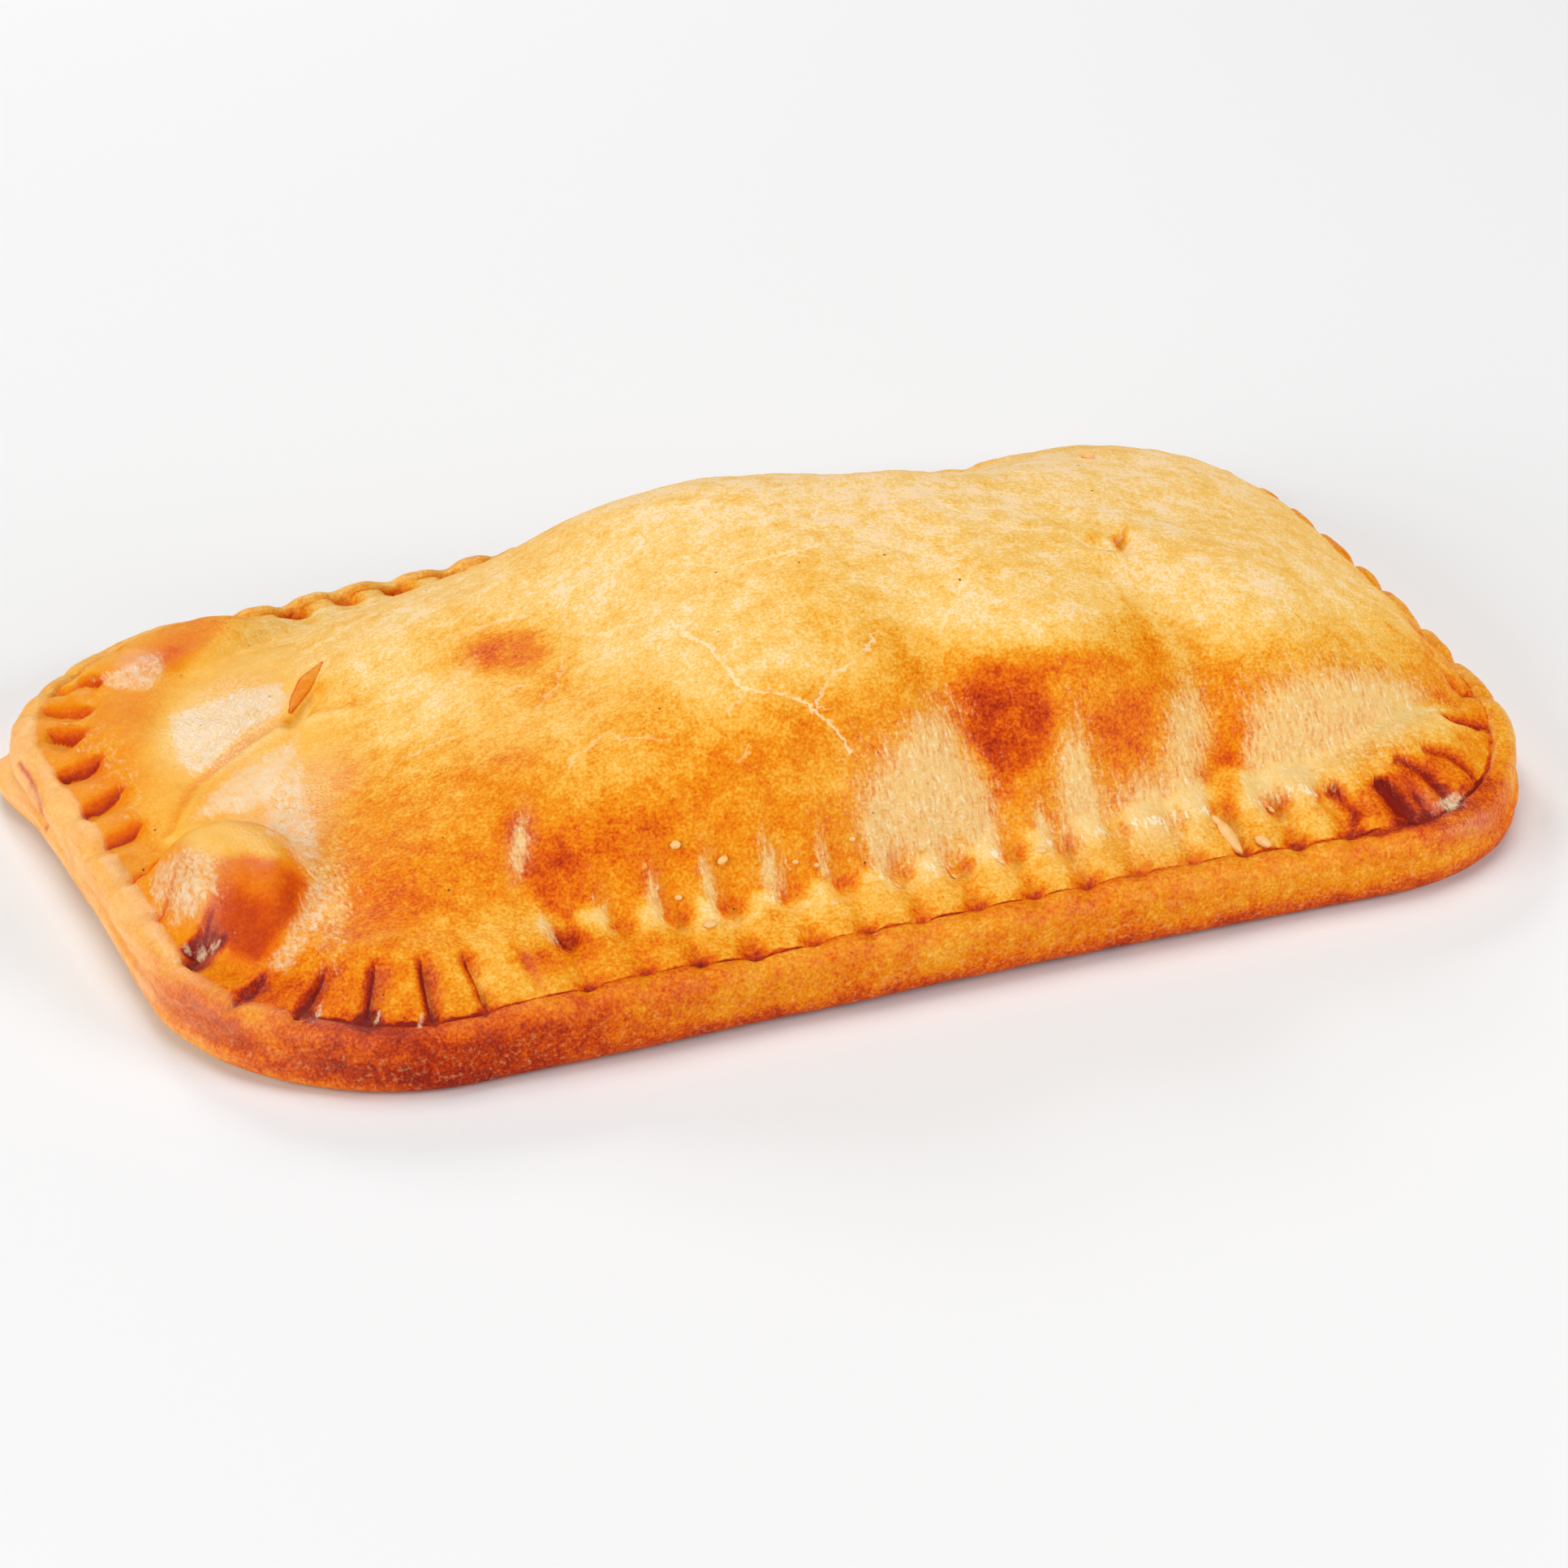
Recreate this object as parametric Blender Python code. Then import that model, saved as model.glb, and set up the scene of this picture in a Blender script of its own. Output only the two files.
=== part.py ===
"""Chicken and mushroom empanadilla: a baked, puffed, rectangular pasty with a crimped rim, uncut.

The crust is one solid. Lengths in the shape functions are millimetres, and the finished mesh is in metres.
x runs along the long side, y towards the far side and z up. The pasty rests on its flat base at z = 0.
A place on the rim is its inset from the edge, or its run: the way round the edge from the right end's middle.
"""

import math

import bmesh
import bpy
import numpy as np

MM = 0.001

# Driving dimensions of the pasty. The width is the one at mid-length, and its near side is tapered.
LENGTH = 162.5
WIDTH = 100.0
NEAR_TAPER = 0.0007
CORNER_RADIUS = 27.0
EDGE_WAVE = 0.003
NEAR_RIGHT_DRAW = 2.2
NEAR_LEFT_DRAW = 0.8
RIM_HEIGHT = 8.8
END_DROP = 1.1
DOME_HEIGHT = 33.5

# The rolled bead along the edge, the score line inside it and how far in the outer band of the mesh goes.
BEAD_WIDTH = 2.7
BEAD_SQUARENESS = 2.7
SCORE_DEPTH = 1.0
SCORE_WIDTH = 0.65
BAND_WIDTH = 16.0

# The dome's footprint, how square it is in plan, and the power and root that shape each of its faces. The near
# and the right face are steep, and the left one runs out softly.
DOME_CENTRE_X = 7.5
DOME_HALF_LENGTHS = (76.0, 70.5)
DOME_NEAR_FOOT = -40.5
DOME_FAR_FOOT = 42.5
DOME_PLAN_POWER = 3.6
NEAR_FACE = (2.6, 0.72)
FAR_FACE = (1.75, 0.9)
LEFT_FACE = (2.6, 1.35)
RIGHT_FACE = (3.4, 0.75)
CREST_BLEND = 3.0
FOOT_BLEND = 1.8
LEFT_FOOT_BLEND = 8.0

# The dome's ridge at places along x: its y, and its height as a share of the full height.
RIDGE = {
    -62: (-8, 0.77),
    -45: (-7, 0.81),
    -28: (-5, 0.85),
    -8: (2, 1.10),
    12: (2, 1.03),
    32: (0, 0.90),
    52: (0, 0.83),
    72: (-2, 0.80),
}
RIDGE_BLEND = 13.0

# Soft swellings and hollows of the dome: centre x, y, half size x, y, turn in degrees, height.
DOME_LUMPS = {
    "left_belly": (-40.0, -23.0, 18.0, 12.0, 0.0, 1.8),
    "middle_belly": (-12.0, -28.0, 19.0, 12.0, 0.0, 2.2),
    "brown_lump": (23.0, -29.0, 10.5, 11.0, 15.0, 4.0),
    "right_lump": (49.0, -25.0, 9.0, 13.0, 0.0, 2.4),
    "left_fold": (-43.0, -34.0, 2.5, 9.0, 8.0, -0.9),
    "middle_valley": (9.0, -34.0, 3.6, 11.0, 14.0, -2.4),
    "right_valley": (37.0, -32.0, 3.4, 12.0, 6.0, -2.6),
    "far_saddle": (29.0, 23.0, 15.0, 11.0, 0.0, -4.6),
}

# Blisters of the crust on the rim's corners: centre x, y, half size x, y, turn in degrees, height.
RIM_BLISTERS = {
    "near_left": (-71.0, -16.6, 9.2, 12.6, -20.0, 7.5),
    "far_left": (-58.0, 37.0, 14.0, 6.8, 14.0, 3.6),
    "near_right": (64.0, -37.0, 11.0, 6.5, 24.0, 1.4),
}
# The near left blister leaves the rim free beside it: centre x, y, half size x, y, turn and depth of the hollow.
BLISTER_HOLLOW = (-76.2, -25.6, 5.0, 5.5, 0.0, 5.5)

# Rows of press marks, as marks along the edge: the quarter turn of the side they are counted from, anticlockwise
# from the right end, and their places along the edge from its middle. Every row then has its half width, its outer
# end's distance from the edge, its length, its depth and the depth of the dimple at the dome's foot.
RIGHT, FAR, LEFT, NEAR = range(4)
CRIMPS = {
    "near": (NEAR, [-41.3 + 6.43 * k for k in range(15)], 0.9, 2.9, 3.0, 0.8, 1.7),
    "near_right": (NEAR, [55.5, 61.5], 1.2, 3.1, 4.0, 0.7, 0.0),
    "right": (RIGHT, [-15.9, -7.2, 2.2, 9.2, 18.0, 25.5, 33.0, 41.0, 49.0, 57.5], 1.5, 2.6, 3.8, 1.6, 0.3),
    "far": (FAR, [-47.8 + 6.85 * k for k in range(15)], 1.4, 3.0, 4.4, 1.7, 0.6),
}
SHOULDER_SHARE = 0.4
CRIMP_SEED = 7

# Marks of a slanted fork: the outer and the inner end in plan, the width of the round nose on one side and of the
# slanted floor on the other, and the depth.
SLOTS = [
    (-68.1, 42.7, -63.7, 39.7, 1.0, 1.8, 0.9),
    (-71.6, 39.3, -68.3, 33.5, 1.0, 2.4, 1.2),
    (-74.6, 35.2, -71.2, 29.3, 1.1, 2.6, 1.3),
    (-75.7, 29.0, -73.4, 24.8, 1.4, 3.6, 1.9),
    (-77.7, 19.8, -73.5, 18.7, 1.4, 3.8, 1.9),
    (-78.4, 11.1, -73.6, 11.8, 1.4, 3.8, 1.9),
    (-78.8, 3.7, -74.2, 3.9, 1.4, 3.6, 1.8),
    (-79.2, -5.6, -75.0, -4.4, 0.6, 1.2, 0.9),
    (-78.4, -13.8, -76.0, -14.2, 0.8, 1.8, 1.1),
    (-77.9, -22.0, -74.8, -21.3, 1.1, 3.4, 2.2),
    (-76.2, -31.0, -72.0, -30.2, 1.0, 2.2, 1.7),
    (-71.2, -37.2, -67.0, -34.6, 1.0, 2.2, 1.7),
    (-64.9, -41.2, -62.2, -37.0, 1.1, 2.2, 1.7),
    (-58.3, -43.7, -57.4, -38.4, 1.1, 2.0, 1.6),
    (-52.4, -44.4, -52.9, -39.4, 1.1, 1.8, 1.3),
    (-46.8, -44.8, -47.2, -40.0, 1.1, 1.7, 1.1),
    (68.9, -33.0, 74.0, -33.5, 1.3, 2.2, 1.3),
    (73.0, -25.6, 76.7, -26.2, 1.2, 3.0, 1.3),
]

# The torn steam vent near the right end, as soft dents and a raised lip: centre x, y, half size x, y, turn in
# degrees, height. Then the knife slit near the left end.
VENT_FOLDS = (
    (38.3, -10.8, 0.8, 2.4, -12.0, -1.5),
    (34.9, -11.2, 2.1, 1.0, -25.0, -0.9),
    (34.4, -14.2, 3.4, 1.0, -30.0, 0.45),
)
SLIT_ENDS = ((-54.5, 9.5), (-48.4, 14.8))
SLIT_DEPTH = 1.6
SLIT_WIDTH = 1.0

# Where the lower sheet of dough stands out most: the side, the place from its middle, how soon that ends before it
# and after it, and how far the dough stands out.
LIPS = {
    "left_end": (LEFT, -32.0, 2.5, 13.0, 1.9),
    "near_left_corner": (LEFT, 34.0, 36.0, 36.0, 0.7),
    "near_right_corner": (RIGHT, -44.0, 20.0, 20.0, 0.6),
}

# The base is flat, and the rim curls up off it.
CURL_WIDTH = 11.0
CURL_HEIGHT = 0.3
CURL_MORE_AT_MIDDLE = 0.6

# Mesh density, and the triangles that are left once the crust is thinned out.
CORE_CELLS = (132, 78)
BAND_STEP = 0.9
BEAD_STEPS = 12
UNDERSIDE_INSETS = (3.4, 4.8, 7.0, 11.0, 16.0)
TRIANGLE_BUDGET = 11000

CRUST_COLOUR = (0.80, 0.42, 0.12, 1.0)
CRUST_ROUGHNESS = 0.38

FLAT_X = LENGTH / 2 - CORNER_RADIUS
FLAT_Y = WIDTH / 2 - CORNER_RADIUS
QUARTER_RUN = FLAT_X + FLAT_Y + CORNER_RADIUS * math.pi / 2


def smooth_step(low, high, value):
    """0 below low, 1 above high and a smooth S between them."""
    t = np.clip((value - low) / (high - low), 0.0, 1.0)
    return t * t * (3.0 - 2.0 * t)


def smooth_max(a, b, blend):
    """The larger of a and b, rounded where they meet."""
    return 0.5 * (a + b + np.sqrt((a - b) ** 2 + blend**2))


def turned(x, y, centre_x, centre_y, half_x, half_y, turn):
    """x and y seen from a turned centre, as shares of the two half sizes."""
    c, s = math.cos(math.radians(turn)), math.sin(math.radians(turn))
    along = (x - centre_x) * c + (y - centre_y) * s
    across = -(x - centre_x) * s + (y - centre_y) * c
    return along / half_x, across / half_y


def swelling(x, y, *place):
    """A soft mound of height 1."""
    along, across = turned(x, y, *place)
    return np.exp(-(along**2) - across**2)


def blister(x, y, *place):
    """A rounder, steeper mound of height 1, like a bubble in the crust."""
    along, across = turned(x, y, *place)
    return 1.0 / (1.0 + (along**2 + across**2) ** 2.8)


def in_plan(x, y):
    """Real place of a point of the untapered plan: the near side is tapered, its corners are drawn in, and the
    edge isn't quite straight."""
    turn = np.arctan2(y / WIDTH, x / LENGTH)
    wave = 1 + EDGE_WAVE * np.sin(7 * turn + 2.0)
    draw_right = NEAR_RIGHT_DRAW * smooth_step(25, 80, x) * smooth_step(8, -44, y)
    draw_left = NEAR_LEFT_DRAW * smooth_step(-25, -80, x) * smooth_step(-5, -38, y)
    return x * wave - draw_right + draw_left, y * (1 + NEAR_TAPER * x * (y < 0)) * wave


def inset_of(x, y):
    """Distance inwards from the edge of the untapered plan."""
    over_x = np.abs(x) - FLAT_X
    over_y = np.abs(y) - FLAT_Y
    outside = np.hypot(np.maximum(over_x, 0), np.maximum(over_y, 0))
    return CORNER_RADIUS - outside - np.minimum(np.maximum(over_x, over_y), 0)


def run_of(x, y):
    """The way round the edge to a point, anticlockwise from the right end's middle, along a corner by its angle."""
    over_x = np.abs(x) - FLAT_X
    over_y = np.abs(y) - FLAT_Y
    corner = FLAT_Y + CORNER_RADIUS * np.arctan2(np.maximum(over_y, 0), np.maximum(over_x, 1e-9))
    on_end = np.minimum(np.abs(y), FLAT_Y)
    on_side = QUARTER_RUN - np.minimum(np.abs(x), FLAT_X)
    run = np.where(over_x >= over_y, on_end, on_side)
    run = np.where((over_x > 0) & (over_y > 0), corner, run)
    run = np.where(x < 0, 2 * QUARTER_RUN - run, run)
    return np.where(y < 0, 4 * QUARTER_RUN - run, run)


def run_gap(run, mark):
    """Signed distance along the edge from a mark, the short way round."""
    whole = 4 * QUARTER_RUN
    return (run - mark + whole / 2) % whole - whole / 2


def by_side(x, y, left, right, near, far):
    """One of four values by the side that a point of the rim is nearest to, blended softly at the corners."""
    end = smooth_step(-8.0, 8.0, np.hypot(x, 12.0) - LENGTH / 2 - np.hypot(y, 12.0) + WIDTH / 2)
    at_end = left + (right - left) * smooth_step(-12.0, 12.0, x)
    at_side = near + (far - near) * smooth_step(-12.0, 12.0, y)
    return at_side + (at_end - at_side) * end


def bead_height(x, y, d):
    """The rim's top, a little lower at the far side, which rolls over at the very edge."""
    top = RIM_HEIGHT - 0.008 * y + 0.2 * np.sin(x / 17.0 + y / 23.0) - END_DROP * smooth_step(30, 72, np.abs(x))
    share = np.clip(d / BEAD_WIDTH, 0.0, 1.0)
    roll = (1 - (1 - share) ** BEAD_SQUARENESS) ** (1 / BEAD_SQUARENESS)
    return top * (0.5 + 0.5 * roll)


def band_climb(x, y, d):
    """The crimped band climbs from the bead to the foot of the dome, most at the near side."""
    return by_side(x, y, 0.6, 1.3, 2.9, 1.0) * smooth_step(BEAD_WIDTH + 0.6, BEAD_WIDTH + 8.6, d)


def score_line(x, y, d):
    """The pressed line between the bead and the band, faint at the left end."""
    depth = SCORE_DEPTH * by_side(x, y, 0.25, 0.55, 1.0, 0.9)
    return -depth * np.exp(-(((d - BEAD_WIDTH - 0.4) / SCORE_WIDTH) ** 2))


def crimps(x, y, d):
    """Rows of press marks across the band, each a slot with shoulders, and a dimple above it at the dome's foot."""
    rng = np.random.default_rng(CRIMP_SEED)
    run = run_of(x, y)
    dent = np.zeros_like(d)
    foot = 9.3 - 1.0 * smooth_step(-20.0, 20.0, x)
    foot_dent = np.exp(-(((d - foot) / 2.2) ** 2)) + 0.3 * np.exp(-(((d - foot - 3.4) / 2.4) ** 2))
    for side, marks, half_width, start, length, depth, dimple in CRIMPS.values():
        outer = smooth_step(start - 0.9, start + 0.6, d)
        inner = 1 - smooth_step(start + length - 1.8, start + length + 1.4, d)
        for mark in marks:
            gap = run_gap(run, side * QUARTER_RUN + mark + rng.uniform(-0.3, 0.3))
            force = rng.uniform(0.75, 1.2)
            slot = np.exp(-np.abs(gap / half_width) ** 2.4) * outer * inner
            shoulder = SHOULDER_SHARE * np.exp(-((gap / (2.3 * half_width)) ** 2)) * outer * inner
            flute = np.exp(-((gap / (1.3 * half_width + 0.3)) ** 2)) * foot_dent * dimple
            dent += force * ((slot + shoulder) * depth + flute)
    return dent


def slots(x, y):
    """The marks of a slanted fork: each has a round nose on one side of its deepest line, a slanted floor on the
    other."""
    dent = np.zeros_like(x)
    for x0, y0, x1, y1, nose, floor, depth in SLOTS:
        length = math.hypot(x1 - x0, y1 - y0)
        along = ((x - x0) * (x1 - x0) + (y - y0) * (y1 - y0)) / length
        across = ((x - x0) * (y1 - y0) - (y - y0) * (x1 - x0)) / length
        ends = smooth_step(-1.0, 0.6, along) * smooth_step(length + 1.0, length - 0.6, along)
        rounded = 1 - np.sqrt(1 - np.clip(1 + across / nose, 0.0, 0.995) ** 2)
        slanted = np.clip(1 - across / floor, 0.0, 1.0) ** 1.2
        dent += depth * ends * np.where(across < 0, rounded, slanted)
    return dent


def along_ridge(x):
    """The ridge's y and its share of the full height at x, blended softly from the named places."""
    places = np.array([(at, *values) for at, values in RIDGE.items()])
    weights = np.exp(-(((x[..., None] - places[:, 0]) / RIDGE_BLEND) ** 2)) + 1e-9
    return np.moveaxis(weights @ places[:, 1:] / weights.sum(axis=-1, keepdims=True), -1, 0)


def dome(x, y):
    """The puffed middle: a rounded pillow with soft lumps where the filling pushes it up."""
    ridge_y, ridge_share = along_ridge(x)
    near = smooth_step(8.0, -8.0, y - ridge_y)
    half_width = (ridge_y - DOME_NEAR_FOOT) * near + (DOME_FAR_FOOT - ridge_y) * (1 - near)
    from_crest = np.hypot(y - ridge_y, CREST_BLEND) - CREST_BLEND
    off_centre = x - DOME_CENTRE_X
    right = smooth_step(-12.0, 12.0, off_centre)
    reach_x = np.abs(off_centre) / (DOME_HALF_LENGTHS[0] * (1 - right) + DOME_HALF_LENGTHS[1] * right)
    reach_y = from_crest / (np.hypot(half_width, CREST_BLEND) - CREST_BLEND)
    reach = (reach_x**DOME_PLAN_POWER + reach_y**DOME_PLAN_POWER) ** (1 / DOME_PLAN_POWER)
    at_end = reach_x**DOME_PLAN_POWER / np.maximum(reach, 1e-6) ** DOME_PLAN_POWER
    side_face = np.array(FAR_FACE) + np.subtract(NEAR_FACE, FAR_FACE) * near[..., None]
    end_face = np.array(LEFT_FACE) + np.subtract(RIGHT_FACE, LEFT_FACE) * right[..., None]
    power, root = np.moveaxis(side_face + (end_face - side_face) * at_end[..., None], -1, 0)
    face = np.clip(1 - reach**power, 0.0, None) ** root
    height = (DOME_HEIGHT - RIM_HEIGHT) * ridge_share * face
    cover = smooth_step(0.0, 0.35, face)
    for *place, lift in DOME_LUMPS.values():
        height += lift * cover * swelling(x, y, *place)
    return height - 2.5 * smooth_step(1.0, 1.3, reach)


def vent(x, y):
    """The steam vent: a tear and a hollow beside it, behind a raised lip."""
    return sum(lift * swelling(x, y, *place) for *place, lift in VENT_FOLDS)


def slit(x, y):
    """The knife slit: a narrow cut, deepest in the middle."""
    (x0, y0), (x1, y1) = SLIT_ENDS
    length = math.hypot(x1 - x0, y1 - y0)
    along = ((x - x0) * (x1 - x0) + (y - y0) * (y1 - y0)) / length**2
    across = ((x - x0) * (y1 - y0) - (y - y0) * (x1 - x0)) / length
    ends = smooth_step(-0.15, 0.2, along) * (1 - smooth_step(0.8, 1.15, along))
    return -SLIT_DEPTH * ends * np.exp(-((across / SLIT_WIDTH) ** 2))


def top_height(plan_x, plan_y):
    """Height of the crust's upper surface over a point of the untapered plan."""
    d = inset_of(plan_x, plan_y)
    x, y = in_plan(plan_x, plan_y)
    rim = bead_height(x, y, d) + band_climb(x, y, d)
    blend = FOOT_BLEND + (LEFT_FOOT_BLEND - FOOT_BLEND) * smooth_step(-40, -65, x) * smooth_step(4.0, 13.0, d)
    height = smooth_max(rim, RIM_HEIGHT - 0.8 + dome(x, y), blend) - blend / 8
    for *place, lift in RIM_BLISTERS.values():
        mound = (lift + 1.2) * blister(x, y, *place) * smooth_step(2.4, 6.5, d)
        height = smooth_max(height, rim - 1.2 + mound, 0.9) - 0.05
    *place, depth = BLISTER_HOLLOW
    height = smooth_max(height - depth * swelling(x, y, *place), np.minimum(height, rim), 0.4) - 0.2
    pressed = crimps(plan_x, plan_y, d) + slots(x, y)
    return height + score_line(x, y, d) - pressed + vent(x, y) + slit(x, y)


def underside_height(x, y, d):
    """The base is flat in the middle, and the rim curls up off the board, most at mid-length."""
    curl = CURL_HEIGHT + CURL_MORE_AT_MIDDLE * np.exp(-((x / 38) ** 2))
    return curl * (1 - smooth_step(3.0, CURL_WIDTH, d))


def quarter_border(count_x, count_y):
    """Places and outward directions round the corner's centre line, for the near side and for the right end.

    Each runs from one corner's middle to the next, and its points are evenly spaced."""

    def half_side(flat, count):
        run = np.arange(count + 1) / count * (flat + CORNER_RADIUS * math.pi / 4)
        return np.minimum(run, flat), np.maximum(run - flat, 0) / CORNER_RADIUS

    def both_halves(half, flip):
        return np.vstack([half[:0:-1] * flip, half])

    place, turn = half_side(FLAT_X, count_x // 2)
    near = np.stack([place, np.full_like(place, -FLAT_Y), np.sin(turn), -np.cos(turn)], axis=1)
    place, turn = half_side(FLAT_Y, count_y // 2)
    right = np.stack([np.full_like(place, FLAT_X), place, np.cos(turn), np.sin(turn)], axis=1)
    return both_halves(near, (-1, 1, -1, 1)), both_halves(right, (1, -1, 1, -1))


def core_plan(near, right, reach):
    """The core's grid in plan, bent at its border to the rounded core outline, as a smooth patch between its sides."""
    near = near[:, :2] + reach * near[:, 2:]
    right = right[:, :2] + reach * right[:, 2:]
    far, left = near * (1, -1), right * (-1, 1)
    u = np.linspace(0, 1, len(near))[:, None, None]
    v = np.linspace(0, 1, len(right))[None, :, None]
    sides = (1 - v) * near[:, None] + v * far[:, None] + (1 - u) * left[None] + u * right[None]
    ends = (1 - u) * (1 - v) * near[0] + u * (1 - v) * near[-1] + (1 - u) * v * far[0] + u * v * far[-1]
    return sides - ends


def bead_profile():
    """Rings over the bead and round the edge: the inset, and the height from 1 at the top to -1 underneath."""
    power = 2 / BEAD_SQUARENESS
    for step in range(BEAD_STEPS + 1):
        turn = math.pi / 2 - math.pi * step / BEAD_STEPS
        inset = BEAD_WIDTH * (1 - abs(math.cos(turn)) ** power)
        yield inset, math.copysign(abs(math.sin(turn)) ** power, math.sin(turn))


def lip_reach(x, y):
    """How far the lower sheet of dough stands out at a place on the edge."""
    run = run_of(x, y)
    reach = np.zeros_like(x)
    for side, place, before, after, out in LIPS.values():
        gap = run_gap(run, side * QUARTER_RUN + place)
        reach += out * smooth_step(1.0, 0.0, np.where(gap < 0, -gap / before, gap / after))
    return reach


def edge_ring(anchor, outward, inset, level):
    """One ring of points round the edge, at a height between the bead's top and the underside."""
    bead = anchor + outward * (CORNER_RADIUS - BEAD_WIDTH)
    top = top_height(bead[:, 0], bead[:, 1])
    ring = anchor + outward * (CORNER_RADIUS - inset)
    base = underside_height(ring[:, 0], ring[:, 1], inset)
    height = (top + base) / 2 + level * (top - base) / 2
    lip = lip_reach(ring[:, 0], ring[:, 1]) * smooth_step(0.02, -0.28, level) * (inset < BEAD_WIDTH + 0.1)
    return np.column_stack([ring + outward * lip[:, None], height])


def build_crust():
    """One closed mesh: a grid for the core, and rings extruded over the band, round the edge and underneath."""
    count_x, count_y = CORE_CELLS
    near, right = quarter_border(count_x, count_y)
    plan = core_plan(near, right, CORNER_RADIUS - BAND_WIDTH)
    heights = top_height(plan[..., 0], plan[..., 1])

    bm = bmesh.new()
    column = bm.verts.layers.int.new("column")
    bmesh.ops.create_grid(bm, x_segments=count_x, y_segments=count_y, size=1.0)
    for vert in bm.verts:
        i = round((vert.co.x + 1) / 2 * count_x)
        j = round((vert.co.y + 1) / 2 * count_y)
        vert.co = (*plan[i, j], heights[i, j])
        if j == 0:
            vert[column] = i
        elif i == count_x:
            vert[column] = count_x + j
        elif j == count_y:
            vert[column] = 2 * count_x + count_y - i
        else:
            vert[column] = 2 * (count_x + count_y) - j

    far, left = near * (1, -1, 1, -1), right * (-1, 1, -1, 1)
    border = np.vstack([near[:-1], right[:-1], far[:0:-1], left[:0:-1]])
    anchor, outward = border[:, :2], border[:, 2:]
    rings = []
    for inset in np.arange(BAND_WIDTH - BAND_STEP, BEAD_WIDTH + BAND_STEP / 2, -BAND_STEP):
        ring = anchor + outward * (CORNER_RADIUS - inset)
        rings.append(np.column_stack([ring, top_height(ring[:, 0], ring[:, 1])]))
    rings += [edge_ring(anchor, outward, inset, level) for inset, level in bead_profile()]
    rings += [edge_ring(anchor, outward, inset, -1.0) for inset in UNDERSIDE_INSETS]

    edges = [edge for edge in bm.edges if edge.is_boundary]
    for ring in rings:
        made = bmesh.ops.extrude_edge_only(bm, edges=edges)["geom"]
        for vert in (piece for piece in made if isinstance(piece, bmesh.types.BMVert)):
            vert.co = ring[vert[column]]
        edges = [piece for piece in made if isinstance(piece, bmesh.types.BMEdge) and piece.is_boundary]
    bmesh.ops.holes_fill(bm, edges=edges)
    bmesh.ops.recalc_face_normals(bm, faces=bm.faces)

    points = np.array([vert.co[:] for vert in bm.verts])
    points[:, 0], points[:, 1] = in_plan(points[:, 0], points[:, 1])
    low, high = points.min(axis=0), points.max(axis=0)
    points -= ((low[0] + high[0]) / 2, (low[1] + high[1]) / 2, low[2])
    for vert, point in zip(bm.verts, points * MM):
        vert.co = point
    print("box mm", high - low, "shift mm", (low + high) / 2)

    mesh = bpy.data.meshes.new("crust")
    bm.to_mesh(mesh)
    bm.free()
    return mesh


def crust_material():
    """Egg-washed shortcrust, baked golden."""
    material = bpy.data.materials.new("crust")
    material.use_nodes = True
    shader = material.node_tree.nodes["Principled BSDF"]
    shader.inputs["Base Color"].default_value = CRUST_COLOUR
    shader.inputs["Roughness"].default_value = CRUST_ROUGHNESS
    shader.inputs["Metallic"].default_value = 0.0
    return material


def main():
    for old in list(bpy.data.objects):
        bpy.data.objects.remove(old)
    collection = bpy.data.collections.new("empanadilla")
    bpy.context.scene.collection.children.link(collection)

    mesh = build_crust()
    mesh.shade_smooth()
    mesh.materials.append(crust_material())
    crust = bpy.data.objects.new("crust", mesh)
    collection.objects.link(crust)

    triangles = sum(len(face.vertices) - 2 for face in mesh.polygons)
    thin = crust.modifiers.new("thin_out", "DECIMATE")
    thin.ratio = TRIANGLE_BUDGET / triangles
    thin.use_collapse_triangulate = True
    print("crust:", triangles, "triangles before thinning")


main()
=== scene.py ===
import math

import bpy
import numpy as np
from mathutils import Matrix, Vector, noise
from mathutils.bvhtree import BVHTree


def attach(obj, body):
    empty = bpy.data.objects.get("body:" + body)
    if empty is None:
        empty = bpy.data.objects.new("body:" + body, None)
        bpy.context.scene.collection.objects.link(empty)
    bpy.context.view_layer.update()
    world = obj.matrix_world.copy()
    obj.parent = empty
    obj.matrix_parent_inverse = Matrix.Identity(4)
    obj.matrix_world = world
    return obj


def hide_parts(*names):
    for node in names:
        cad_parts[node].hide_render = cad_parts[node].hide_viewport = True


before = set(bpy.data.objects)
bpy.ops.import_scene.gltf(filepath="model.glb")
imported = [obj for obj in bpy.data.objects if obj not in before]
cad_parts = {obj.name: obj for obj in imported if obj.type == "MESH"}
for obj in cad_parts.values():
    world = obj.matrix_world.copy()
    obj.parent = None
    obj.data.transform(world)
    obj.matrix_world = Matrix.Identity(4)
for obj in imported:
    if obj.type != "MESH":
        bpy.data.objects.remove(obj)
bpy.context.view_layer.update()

# %% [markdown]
# # Chicken and mushroom empanadilla
#
# This lesson dresses one baked pasty. The real one is made of two sheets of shortcrust round a filling: the
# sheets are pressed together round the edge, brushed with egg and baked until steam has puffed the top. The
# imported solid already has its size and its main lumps. Here it gets a finer crust, the colours of baking and
# the egg's gloss.
#
# Lengths are in millimetres while the crust is shaped, and the finished mesh is in metres.

MM = 0.001

# %% [markdown]
# ## The camera
#
# The picture was taken with a long lens, from above the near left corner. The camera comes first, because
# marks on the crust are placed by where the picture shows them: a line from the lens through a place of the
# picture meets the crust at the right spot, and the mark then belongs to the crust, from whatever side it is
# seen.

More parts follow.
